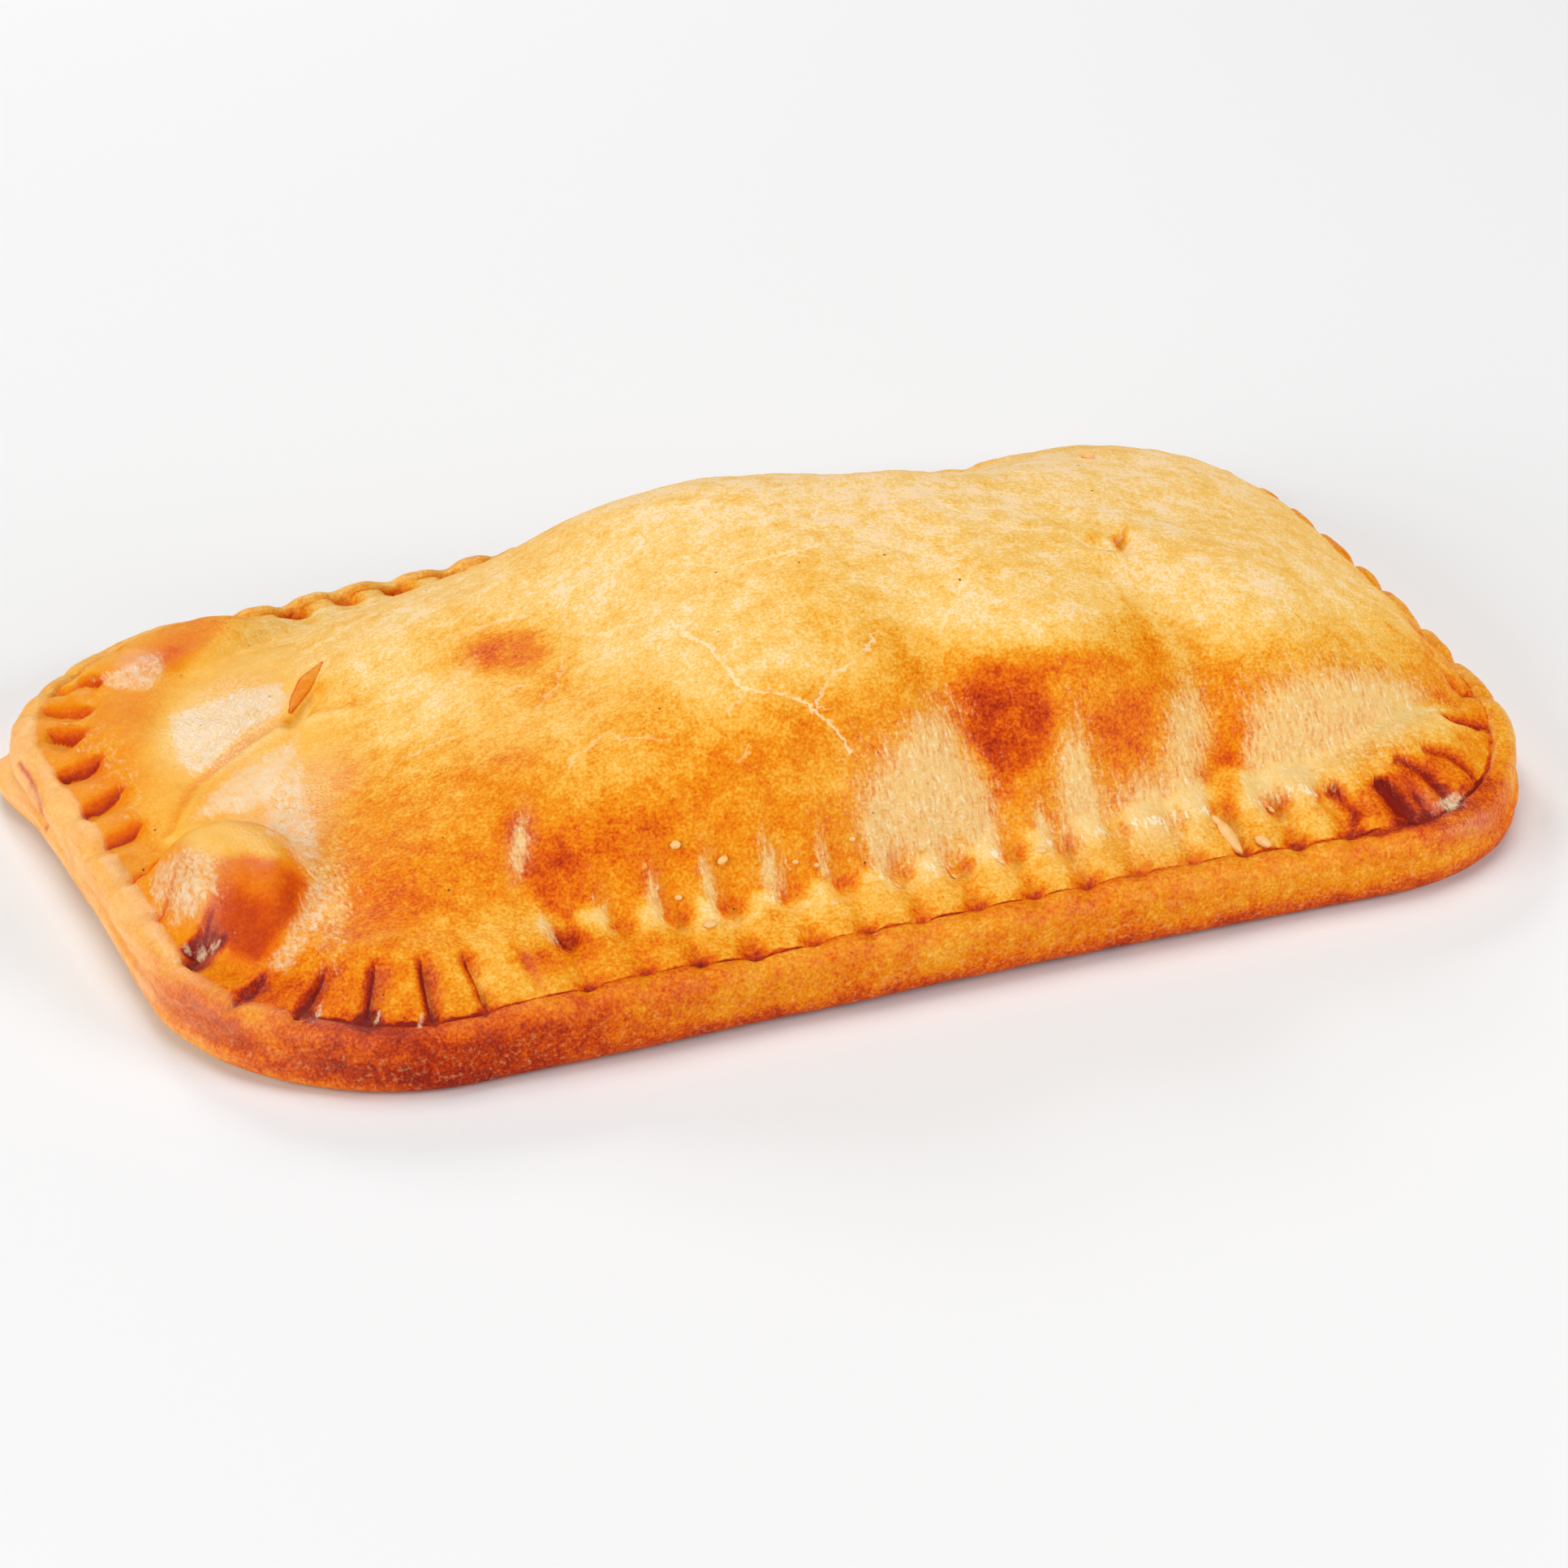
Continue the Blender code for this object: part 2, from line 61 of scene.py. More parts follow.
# %% Camera
SENSOR = 36
PICTURE = 1932
FOCAL_PIXELS = 7769.9
CAMERA_PLACE = Vector((-255.9, -564.4, 363.1))
CAMERA_FORWARD = Vector((0.3585, 0.7848, -0.5055)).normalized()
ROUGHLY_UP = Vector((0.1971, 0.4656, 0.8627))
CAMERA_RIGHT = CAMERA_FORWARD.cross(ROUGHLY_UP).normalized()
CAMERA_UP = CAMERA_RIGHT.cross(CAMERA_FORWARD)

lens = bpy.data.cameras.new("camera")
lens.sensor_width = SENSOR
lens.lens = SENSOR * FOCAL_PIXELS / PICTURE
camera = bpy.data.objects.new("camera", lens)
bpy.context.scene.collection.objects.link(camera)
camera.matrix_world = Matrix.Translation(CAMERA_PLACE * MM) @ Matrix(
    (CAMERA_RIGHT, CAMERA_UP, -CAMERA_FORWARD)
).transposed().to_4x4()
bpy.context.scene.camera = camera
print("lens", round(lens.lens, 1), "mm")


def sight(across, down):
    """The direction in which the camera sees a place of the picture, in the picture's pixels."""
    off = CAMERA_RIGHT * (across - PICTURE / 2) - CAMERA_UP * (down - PICTURE / 2)
    return (CAMERA_FORWARD + off / FOCAL_PIXELS).normalized()


# %% [markdown]
# ## The crust's outline
#
# Seen from above, the pasty is a rectangle with round corners, cut by hand: the near side runs in a little
# towards the right, and the edge isn't quite straight. The crust could be carved out of a block, but it is
# thin folds and press marks that follow the edge, so its mesh should follow the edge too. It is a square grid
# in the middle, and rings that run round it out to the edge and under it. These functions are the ones that
# shaped the solid.

# %% Outline
LENGTH = 162.5
WIDTH = 100.0
NEAR_TAPER = 0.0007
CORNER_RADIUS = 27.0
EDGE_WAVE = 0.003
NEAR_RIGHT_DRAW = 2.2
NEAR_LEFT_DRAW = 0.8
FLAT_X = LENGTH / 2 - CORNER_RADIUS
FLAT_Y = WIDTH / 2 - CORNER_RADIUS
QUARTER_RUN = FLAT_X + FLAT_Y + CORNER_RADIUS * math.pi / 2
RIGHT, FAR, LEFT, NEAR = range(4)


def smooth_step(low, high, value):
    """0 below low, 1 above high and a smooth S between them."""
    t = np.clip((value - low) / (high - low), 0.0, 1.0)
    return t * t * (3.0 - 2.0 * t)


def bell(value, width):
    """1 where the value is 0, falling softly to both sides."""
    return np.exp(-((value / width) ** 2))


def smooth_max(a, b, blend):
    """The larger of a and b, rounded where they meet."""
    return 0.5 * (a + b + np.sqrt((a - b) ** 2 + blend**2))


def in_plan(x, y):
    """Real place of a point of the even outline: tapered, drawn in at the near corners and wavy."""
    turn = np.arctan2(y / WIDTH, x / LENGTH)
    wave = 1 + EDGE_WAVE * np.sin(7 * turn + 2.0)
    draw_right = NEAR_RIGHT_DRAW * smooth_step(25, 80, x) * smooth_step(8, -44, y)
    draw_left = NEAR_LEFT_DRAW * smooth_step(-25, -80, x) * smooth_step(-5, -38, y)
    return x * wave - draw_right + draw_left, y * (1 + NEAR_TAPER * x * (y < 0)) * wave


def inset_of(x, y):
    """Distance inwards from the edge of the even outline."""
    over_x = np.abs(x) - FLAT_X
    over_y = np.abs(y) - FLAT_Y
    outside = np.hypot(np.maximum(over_x, 0), np.maximum(over_y, 0))
    return CORNER_RADIUS - outside - np.minimum(np.maximum(over_x, over_y), 0)


def run_of(x, y):
    """The way round the edge to a point, anticlockwise from the right end's middle."""
    over_x = np.abs(x) - FLAT_X
    over_y = np.abs(y) - FLAT_Y
    corner = FLAT_Y + CORNER_RADIUS * np.arctan2(np.maximum(over_y, 0), np.maximum(over_x, 1e-9))
    on_end = np.minimum(np.abs(y), FLAT_Y)
    on_side = QUARTER_RUN - np.minimum(np.abs(x), FLAT_X)
    run = np.where(over_x >= over_y, on_end, on_side)
    run = np.where((over_x > 0) & (over_y > 0), corner, run)
    run = np.where(x < 0, 2 * QUARTER_RUN - run, run)
    return np.where(y < 0, 4 * QUARTER_RUN - run, run)


def run_gap(run, mark):
    """Signed distance along the edge from a mark, the short way round."""
    whole = 4 * QUARTER_RUN
    return (run - mark + whole / 2) % whole - whole / 2


def by_side(x, y, left, right, near, far):
    """One of four values by the side that a point of the rim is nearest to, blended softly at the corners."""
    end = smooth_step(-8.0, 8.0, np.hypot(x, 12.0) - LENGTH / 2 - np.hypot(y, 12.0) + WIDTH / 2)
    at_end = left + (right - left) * smooth_step(-12.0, 12.0, x)
    at_side = near + (far - near) * smooth_step(-12.0, 12.0, y)
    return at_side + (at_end - at_side) * end


print("way round the edge:", round(4 * QUARTER_RUN, 1), "mm")

# %% [markdown]
# ## The sheet
#
# A grid primitive is the middle of the sheet. Its border is then extruded again and again, ring by ring, and
# the last ring is closed by one face, which is the flat base. Each extrusion moves down by one, so that a
# vertex still says which ring it is in when all of them get their true places.

# %% Grid and rings
CORE_CELLS = (268, 140)
BAND_WIDTH = 16.0
BAND_STEP = 0.45
BEAD_WIDTH = 2.7
BEAD_SQUARENESS = 2.7
BEAD_STEPS = 30
BEAD_SAMPLES = 721
UNDERSIDE_INSETS = (3.4, 4.4, 5.6, 7.0, 9.0, 12.0, 16.0)
RIM_HEIGHT = 8.8


def bead_profile():
    """Rings over the bead and round the edge: the inset, and the height from 1 at the top to -1 below."""
    power = 2 / BEAD_SQUARENESS
    turn = np.linspace(math.pi / 2, -math.pi / 2, BEAD_SAMPLES)
    inset = BEAD_WIDTH * (1 - np.abs(np.cos(turn)) ** power)
    level = np.sign(turn) * np.abs(np.sin(turn)) ** power
    run = np.append(0, np.cumsum(np.hypot(np.diff(inset), np.diff(level) * RIM_HEIGHT / 2)))
    even_run = np.linspace(0, run[-1], BEAD_STEPS + 1)
    return list(zip(np.interp(even_run, run, inset), np.interp(even_run, run, level)))


band_insets = np.arange(BAND_WIDTH - BAND_STEP, BEAD_WIDTH + BAND_STEP / 2, -BAND_STEP)
band_rings = [(inset, 2.0) for inset in band_insets]
rings = np.array(band_rings + bead_profile() + [(inset, -1.0) for inset in UNDERSIDE_INSETS])

bpy.ops.object.select_all(action="DESELECT")
bpy.ops.mesh.primitive_grid_add(x_subdivisions=CORE_CELLS[0], y_subdivisions=CORE_CELLS[1], size=2.0)
crust = bpy.context.object
crust.name = "crust_skin"
bpy.ops.object.mode_set(mode="EDIT")
bpy.ops.mesh.select_mode(type="EDGE")
bpy.ops.mesh.select_all(action="SELECT")
bpy.ops.mesh.region_to_loop()
for _ in rings:
    bpy.ops.mesh.extrude_edges_move(TRANSFORM_OT_translate={"value": (0, 0, -1)})
bpy.ops.mesh.edge_face_add()
bpy.ops.mesh.select_all(action="SELECT")
bpy.ops.mesh.normals_make_consistent(inside=False)
bpy.ops.object.mode_set(mode="OBJECT")
print("sheet:", len(crust.data.vertices), "vertices,", len(rings), "rings")

# %% [markdown]
# Each vertex now gets its place in the even outline. The grid's border is bent to the rounded outline of the
# middle, and the lines between follow as a smooth patch between its four sides.

# %% Places in the outline


def quarter_border(count_x, count_y):
    """Places and outward directions round the corners' centre line, at the near side and the right end."""

    def half_side(flat, count):
        run = np.arange(count + 1) / count * (flat + CORNER_RADIUS * math.pi / 4)
        return np.minimum(run, flat), np.maximum(run - flat, 0) / CORNER_RADIUS

    def both_halves(half, flip):
        return np.vstack([half[:0:-1] * flip, half])

    place, turn = half_side(FLAT_X, count_x // 2)
    near = np.stack([place, np.full_like(place, -FLAT_Y), np.sin(turn), -np.cos(turn)], axis=1)
    place, turn = half_side(FLAT_Y, count_y // 2)
    right = np.stack([np.full_like(place, FLAT_X), place, np.cos(turn), np.sin(turn)], axis=1)
    return both_halves(near, (-1, 1, -1, 1)), both_halves(right, (1, -1, 1, -1))


def core_plan(near, right, reach):
    """The core's grid in plan, as a smooth patch between its four sides."""
    near = near[:, :2] + reach * near[:, 2:]
    right = right[:, :2] + reach * right[:, 2:]
    far, left = near * (1, -1), right * (-1, 1)
    u = np.linspace(0, 1, len(near))[:, None, None]
    v = np.linspace(0, 1, len(right))[None, :, None]
    sides = (1 - v) * near[:, None] + v * far[:, None] + (1 - u) * left[None] + u * right[None]
    ends = (1 - u) * (1 - v) * near[0] + u * (1 - v) * near[-1] + (1 - u) * v * far[0] + u * v * far[-1]
    return sides - ends


def read_vertices(mesh):
    """The mesh's vertex places as one array."""
    places = np.empty(len(mesh.vertices) * 3)
    mesh.vertices.foreach_get("co", places)
    return places.reshape(-1, 3)


cells_x, cells_y = CORE_CELLS
near_side, right_side = quarter_border(cells_x, cells_y)
far_side, left_side = near_side * (1, -1, 1, -1), right_side * (-1, 1, -1, 1)
border = np.vstack([near_side[:-1], right_side[:-1], far_side[:0:-1], left_side[:0:-1]])
start = read_vertices(crust.data)
grid_i = np.rint((start[:, 0] + 1) / 2 * cells_x).astype(int)
grid_j = np.rint((start[:, 1] + 1) / 2 * cells_y).astype(int)
ring_of = np.rint(-start[:, 2]).astype(int) - 1
in_core = ring_of < 0
column = np.select(
    [grid_j == 0, grid_i == cells_x, grid_j == cells_y],
    [grid_i, cells_x + grid_j, 2 * cells_x + cells_y - grid_i],
    2 * (cells_x + cells_y) - grid_j,
) % len(border)

anchor = border[column]
inset = np.where(in_core, BAND_WIDTH, rings[ring_of, 0])
level = np.where(in_core, 2.0, rings[ring_of, 1])
even = anchor[:, :2] + anchor[:, 2:] * (CORNER_RADIUS - inset)[:, None]
even[in_core] = core_plan(near_side, right_side, CORNER_RADIUS - BAND_WIDTH)[grid_i[in_core], grid_j[in_core]]
print("vertices in the middle:", in_core.sum(), "and in the rings:", (~in_core).sum())

# %% [markdown]
# ## The rim
#
# Round the edge runs a rolled bead, and inside it a thin pressed line. From there the band climbs to the foot
# of the dome, crossed by the marks of a fork. On the real pasty each mark is a little different: long folds
# at the near corners, deep slots at the left end, small dimples along the near side. They could be modelled
# one by one, but a mark is only a dent across the edge, so a list of places with a width, length and depth
# makes them all.

# %% Rim and crimps
SCORE_DEPTH = 1.0
SCORE_WIDTH = 0.65
END_DROP = 1.1
CURL_WIDTH = 11.0
CURL_HEIGHT = 0.3
CURL_MORE_AT_MIDDLE = 0.6
LAYER_DEPTH = 0.45
LAYER_LEVEL = 0.02
LAYER_WIDTH = 0.11
# Where the lower sheet of dough stands out most: the side, the place from its middle, how soon that ends
# before it and after it, and how far the dough stands out.
LIPS = {
    "left_end": (LEFT, -32.0, 2.5, 13.0, 1.9),
    "near_left_corner": (LEFT, 34.0, 36.0, 36.0, 0.7),
    "near_right_corner": (RIGHT, -44.0, 20.0, 20.0, 0.6),
}
# Rows of marks: the side, the places from its middle, half width, outer end's distance from the edge,
# length, depth, dimple at the dome's foot, and how dark the juice has baked in them.
CRIMPS = {
    "near": (NEAR, [-41.3 + 6.43 * k for k in range(15)], 0.9, 2.9, 3.0, 0.8, 1.7, 0.42),
    "near_right": (NEAR, [55.5, 61.5], 1.2, 3.1, 4.0, 0.7, 0.0, 0.4),
    "right": (RIGHT, [-15.9, -7.2, 2.2, 9.2, 18.0, 25.5, 33.0, 41.0, 49.0, 57.5],
              1.5, 2.6, 3.8, 1.6, 0.3, 0.6),
    "far": (FAR, [-47.8 + 6.85 * k for k in range(15)], 1.4, 3.0, 4.4, 1.7, 0.6, 0.8),
}
# Marks of a slanted fork: the outer and the inner end in plan, the width of the round nose on one side and
# of the slanted floor on the other, depth, how dark the juice is in the deepest line, which also sets the
# painted shade over the nose, and how dark it is on the floor, which also sets the floor's painted sheen.
SLOTS = [
    (-68.1, 42.7, -63.7, 39.7, 1.0, 1.8, 0.9, 0.5, 0.0),
    (-71.6, 39.3, -68.3, 33.5, 1.0, 2.4, 1.2, 0.45, 0.0),
    (-74.6, 35.2, -71.2, 29.3, 1.1, 2.6, 1.3, 0.4, 0.0),
    (-75.7, 29.0, -73.4, 24.8, 1.4, 3.6, 1.9, 0.65, 0.0),
    (-77.7, 19.8, -73.5, 18.7, 1.4, 3.8, 1.9, 0.75, 0.0),
    (-78.4, 11.1, -73.6, 11.8, 1.4, 3.8, 1.9, 0.75, 0.0),
    (-78.8, 3.7, -74.2, 3.9, 1.4, 3.6, 1.8, 0.7, 0.0),
    (-79.2, -5.6, -75.0, -4.4, 0.6, 1.2, 0.9, 0.5, 0.0),
    (-78.4, -13.8, -76.0, -14.2, 0.8, 1.8, 1.1, 0.4, 0.1),
    (-77.9, -22.0, -74.8, -21.3, 1.1, 3.4, 2.2, 1.0, 1.0),
    (-76.2, -31.0, -72.0, -30.2, 1.0, 2.2, 1.7, 0.8, 0.5),
    (-71.2, -37.2, -67.0, -34.6, 1.0, 2.2, 1.7, 0.9, 0.5),
    (-64.9, -41.2, -62.2, -37.0, 1.1, 2.2, 1.7, 1.0, 0.4),
    (-58.3, -43.7, -57.4, -38.4, 1.1, 2.0, 1.6, 1.0, 0.3),
    (-52.4, -44.4, -52.9, -39.4, 1.1, 1.8, 1.3, 0.9, 0.2),
    (-46.8, -44.8, -47.2, -40.0, 1.1, 1.7, 0.3, 0.2, 0.35),
    (68.9, -33.0, 74.0, -33.5, 1.3, 2.2, 1.3, 0.7, 0.1),
    (73.0, -25.6, 76.7, -26.2, 1.2, 3.0, 1.3, 0.5, 0.2),
]
SHOULDER_SHARE = 0.4
# How dark the painted shade is in the hollows at the dome's foot.
FLUTE_HOLLOW_SHADE = 0.36
SPOT_STAIN = 0.95
CRIMP_SEED = 7


def bead_height(x, y, d):
    """The rim's top, a little lower at the far side, which rolls over at the very edge."""
    wave = 0.2 * np.sin(x / 17.0 + y / 23.0)
    top = RIM_HEIGHT - 0.008 * y + wave - END_DROP * smooth_step(30, 72, np.abs(x))
    share = np.clip(d / BEAD_WIDTH, 0.0, 1.0)
    roll = (1 - (1 - share) ** BEAD_SQUARENESS) ** (1 / BEAD_SQUARENESS)
    return top * (0.5 + 0.5 * roll)


def band_climb(x, y, d):
    """The crimped band climbs from the bead to the foot of the dome, most at the near side."""
    return by_side(x, y, 0.6, 1.3, 2.9, 1.0) * smooth_step(BEAD_WIDTH + 0.6, BEAD_WIDTH + 8.6, d)


def score_line(x, y, d):
    """The pressed line between the bead and the band, faint at the left end."""
    depth = SCORE_DEPTH * by_side(x, y, 0.25, 0.55, 1.0, 0.9)
    return -depth * bell(d - BEAD_WIDTH - 0.4, SCORE_WIDTH)


def crimps(x, y, d):
    """Rows of marks: how deep, how dark with juice and painted shade, and painted streaks of highlight."""
    rng = np.random.default_rng(CRIMP_SEED)
    run = run_of(x, y)
    dent = np.zeros_like(d)
    dark = np.zeros_like(d)
    streaks = np.zeros_like(d)
    foot = 9.3 - 1.0 * smooth_step(-20.0, 20.0, x)
    foot_dent = bell(d - foot, 2.2) + 0.3 * bell(d - foot - 3.4, 2.4)
    for side, marks, half_width, start_d, length, depth, dimple, darkening in CRIMPS.values():
        outer = smooth_step(start_d - 0.9, start_d + 0.6, d)
        inner = 1 - smooth_step(start_d + length - 1.8, start_d + length + 1.4, d)
        for mark in marks:
            gap = run_gap(run, side * QUARTER_RUN + mark + rng.uniform(-0.3, 0.3))
            force = rng.uniform(0.75, 1.2)
            slot = np.exp(-np.abs(gap / half_width) ** 2.4) * outer * inner
            shoulder = SHOULDER_SHARE * bell(gap, 2.3 * half_width) * outer * inner
            flute = bell(gap, 1.3 * half_width + 0.3) * foot_dent * dimple
            dent += force * ((slot + shoulder) * depth + flute)
            dark = np.maximum(dark, darkening * force * np.exp(-np.abs(gap / half_width) ** 2.2) * outer * inner)
            spot = bell(gap, 1.5) * bell(d - 3.5, 0.75)
            dark = np.maximum(dark, SPOT_STAIN * force * spot * (side == NEAR))
            # Painted shade: the hollow at the dome's foot between two folds is darkened.
            hollow = bell(gap, 1.5) * bell(d - foot, 1.3)
            dark = np.maximum(dark, FLUTE_HOLLOW_SHADE * force * hollow * min(dimple, 1.0))
            # Painted highlight: a bright streak beside each fold, laid into the dry film's colour.
            beside = bell(gap + 1.9, 0.9) * bell(d - foot - 1.4, 2.2)
            streaks = np.maximum(streaks, beside * force**2 * min(dimple, 1.0))
    return dent, dark, streaks


def slots(x, y):
    """The marks of a slanted fork: how deep they are, the place across them, and how dark their deepest line
    and floor are. The place is -1 at the nose's foot, 0 at the deepest line and 1 where the floor ends."""
    dent = np.zeros_like(x)
    place = np.full_like(x, 3.0)
    dark = np.zeros_like(x)
    floors = np.zeros_like(x)
    for x0, y0, x1, y1, nose, floor, depth, line_stain, floor_stain in SLOTS:
        length = math.hypot(x1 - x0, y1 - y0)
        along = ((x - x0) * (x1 - x0) + (y - y0) * (y1 - y0)) / length
        across = ((x - x0) * (y1 - y0) - (y - y0) * (x1 - x0)) / length
        ends = smooth_step(-1.0, 0.6, along) * smooth_step(length + 1.0, length - 0.6, along)
        rounded = 1 - np.sqrt(1 - np.clip(1 + across / nose, 0.0, 0.995) ** 2)
        slanted = np.clip(1 - across / floor, 0.0, 1.0) ** 1.2
        dent += depth * ends * np.where(across < 0, rounded, slanted)
        here = np.where(across < 0, across / nose, across / floor)
        beside = smooth_step(-1.0, 0.2, along) * smooth_step(length + 1.0, length - 0.4, along)
        closer = (np.abs(here) < np.abs(place)) & (beside > 0)
        place = np.where(closer, here, place)
        dark = np.where(closer, line_stain * beside, dark)
        floors = np.where(closer, (0.25 + 0.75 * floor_stain) * beside, floors)
    return dent, place, dark, floors


def lip_reach(x, y):
    """How far the lower sheet of dough stands out at a place on the edge."""
    run = run_of(x, y)
    reach = np.zeros_like(x)
    for side, place, before, after, out in LIPS.values():
        gap = run_gap(run, side * QUARTER_RUN + place)
        reach += out * smooth_step(1.0, 0.0, np.where(gap < 0, -gap / before, gap / after))
    return reach


def layer_line(x, y, level):
    """The line between the two sheets of dough, pressed into the wall, deepest at the left end."""
    return LAYER_DEPTH * by_side(x, y, 1.0, 0.1, 0.15, 0.2) * bell(level - LAYER_LEVEL, LAYER_WIDTH)


def underside_height(x, y, d):
    """The base is flat in the middle, and the rim curls up off the board, most at mid-length."""
    curl = CURL_HEIGHT + CURL_MORE_AT_MIDDLE * bell(x, 38)
    return curl * (1 - smooth_step(3.0, CURL_WIDTH, d))


print("press marks:", sum(len(kind[1]) for kind in CRIMPS.values()) + len(SLOTS))

# %% [markdown]
# ## The dome
#
# Steam has lifted the top sheet off the filling. It is a pillow with a steep near face, a gentle far one and
# a ridge that rises to the middle, with lumps where the filling pushes and blisters on three of the corners.

# %% Dome
DOME_HEIGHT = 33.5
DOME_CENTRE_X = 7.5
DOME_HALF_LENGTHS = (76.0, 70.5)
DOME_NEAR_FOOT = -40.5
DOME_FAR_FOOT = 42.5
DOME_PLAN_POWER = 3.6
NEAR_FACE = (2.6, 0.72)
FAR_FACE = (1.75, 0.9)
LEFT_FACE = (2.6, 1.35)
RIGHT_FACE = (3.4, 0.75)
CREST_BLEND = 3.0
FOOT_BLEND = 1.8
LEFT_FOOT_BLEND = 8.0
RIDGE = {
    -62: (-8, 0.77),
    -45: (-7, 0.81),
    -28: (-5, 0.85),
    -8: (2, 1.10),
    12: (2, 1.03),
    32: (0, 0.90),
    52: (0, 0.83),
    72: (-2, 0.80),
}
RIDGE_BLEND = 13.0
# Centre x, y, half size x, y, turn in degrees and height.
DOME_LUMPS = {
    "left_belly": (-40.0, -23.0, 18.0, 12.0, 0.0, 1.8),
    "middle_belly": (-12.0, -28.0, 19.0, 12.0, 0.0, 2.2),
    "brown_lump": (23.0, -29.0, 10.5, 11.0, 15.0, 4.0),
    "right_lump": (49.0, -25.0, 9.0, 13.0, 0.0, 2.4),
    "left_fold": (-43.0, -34.0, 2.5, 9.0, 8.0, -0.9),
    "middle_valley": (9.0, -34.0, 3.6, 11.0, 14.0, -2.4),
    "right_valley": (37.0, -32.0, 3.4, 12.0, 6.0, -2.6),
    "far_saddle": (29.0, 23.0, 15.0, 11.0, 0.0, -4.6),
}
RIM_BLISTERS = {
    "near_left": (-71.0, -16.6, 9.2, 12.6, -20.0, 7.5),
    "far_left": (-58.0, 37.0, 14.0, 6.8, 14.0, 3.6),
    "near_right": (64.0, -37.0, 11.0, 6.5, 24.0, 1.4),
}
# The near left blister leaves the rim free beside it: centre x, y, half size x, y, turn and depth of the
# hollow.
BLISTER_HOLLOW = (-76.2, -25.6, 5.0, 5.5, 0.0, 5.5)
# The torn steam vent, as soft dents and a raised lip.
VENT_FOLDS = (
    (38.3, -10.8, 0.8, 2.4, -12.0, -1.5),
    (34.9, -11.2, 2.1, 1.0, -25.0, -0.9),
    (34.4, -14.2, 3.4, 1.0, -30.0, 0.45),
)
SLIT_ENDS = ((-54.5, 9.5), (-48.4, 14.8))
SLIT_DEPTH = 1.6
SLIT_WIDTH = 1.0
# The solid was moved by this much to put the middle of its box at the origin, and the crust moves with it.
SOLID_MIDDLE = (-0.53, -0.96)


def turned(x, y, centre_x, centre_y, half_x, half_y, turn):
    """x and y seen from a turned centre, as shares of the two half sizes."""
    c, s = math.cos(math.radians(turn)), math.sin(math.radians(turn))
    along = (x - centre_x) * c + (y - centre_y) * s
    across = -(x - centre_x) * s + (y - centre_y) * c
    return along / half_x, across / half_y


def swelling(x, y, *place):
    """A soft mound of height 1."""
    along, across = turned(x, y, *place)
    return np.exp(-(along**2) - across**2)


def blister(x, y, *place):
    """A rounder, steeper mound of height 1, like a bubble in the crust."""
    along, across = turned(x, y, *place)
    return 1.0 / (1.0 + (along**2 + across**2) ** 2.8)


def along_ridge(x):
    """The ridge's y and its share of the full height at x, blended softly from the named places."""
    places = np.array([(at, *values) for at, values in RIDGE.items()])
    weights = bell(x[..., None] - places[:, 0], RIDGE_BLEND) + 1e-9
    return np.moveaxis(weights @ places[:, 1:] / weights.sum(axis=-1, keepdims=True), -1, 0)


def dome(x, y):
    """The puffed middle: a rounded pillow with soft lumps where the filling pushes it up."""
    ridge_y, ridge_share = along_ridge(x)
    near = smooth_step(8.0, -8.0, y - ridge_y)
    half_width = (ridge_y - DOME_NEAR_FOOT) * near + (DOME_FAR_FOOT - ridge_y) * (1 - near)
    from_crest = np.hypot(y - ridge_y, CREST_BLEND) - CREST_BLEND
    off_centre = x - DOME_CENTRE_X
    right = smooth_step(-12.0, 12.0, off_centre)
    reach_x = np.abs(off_centre) / (DOME_HALF_LENGTHS[0] * (1 - right) + DOME_HALF_LENGTHS[1] * right)
    reach_y = from_crest / (np.hypot(half_width, CREST_BLEND) - CREST_BLEND)
    reach = (reach_x**DOME_PLAN_POWER + reach_y**DOME_PLAN_POWER) ** (1 / DOME_PLAN_POWER)
    at_end = reach_x**DOME_PLAN_POWER / np.maximum(reach, 1e-6) ** DOME_PLAN_POWER
    side_face = np.array(FAR_FACE) + np.subtract(NEAR_FACE, FAR_FACE) * near[..., None]
    end_face = np.array(LEFT_FACE) + np.subtract(RIGHT_FACE, LEFT_FACE) * right[..., None]
    power, root = np.moveaxis(side_face + (end_face - side_face) * at_end[..., None], -1, 0)
    face = np.clip(1 - reach**power, 0.0, None) ** root
    height = (DOME_HEIGHT - RIM_HEIGHT) * ridge_share * face
    cover = smooth_step(0.0, 0.35, face)
    for *place, lift in DOME_LUMPS.values():
        height += lift * cover * swelling(x, y, *place)
    return height - 2.5 * smooth_step(1.0, 1.3, reach)


def vent(x, y):
    """The steam vent: a tear and a hollow beside it, behind a raised lip."""
    return sum(lift * swelling(x, y, *place) for *place, lift in VENT_FOLDS)


def slit(x, y):
    """The knife slit: a narrow cut, deepest in the middle."""
    (x0, y0), (x1, y1) = SLIT_ENDS
    length = math.hypot(x1 - x0, y1 - y0)
    along = ((x - x0) * (x1 - x0) + (y - y0) * (y1 - y0)) / length**2
    across = ((x - x0) * (y1 - y0) - (y - y0) * (x1 - x0)) / length
    ends = smooth_step(-0.15, 0.2, along) * (1 - smooth_step(0.8, 1.15, along))
    return -SLIT_DEPTH * ends * bell(across, SLIT_WIDTH)


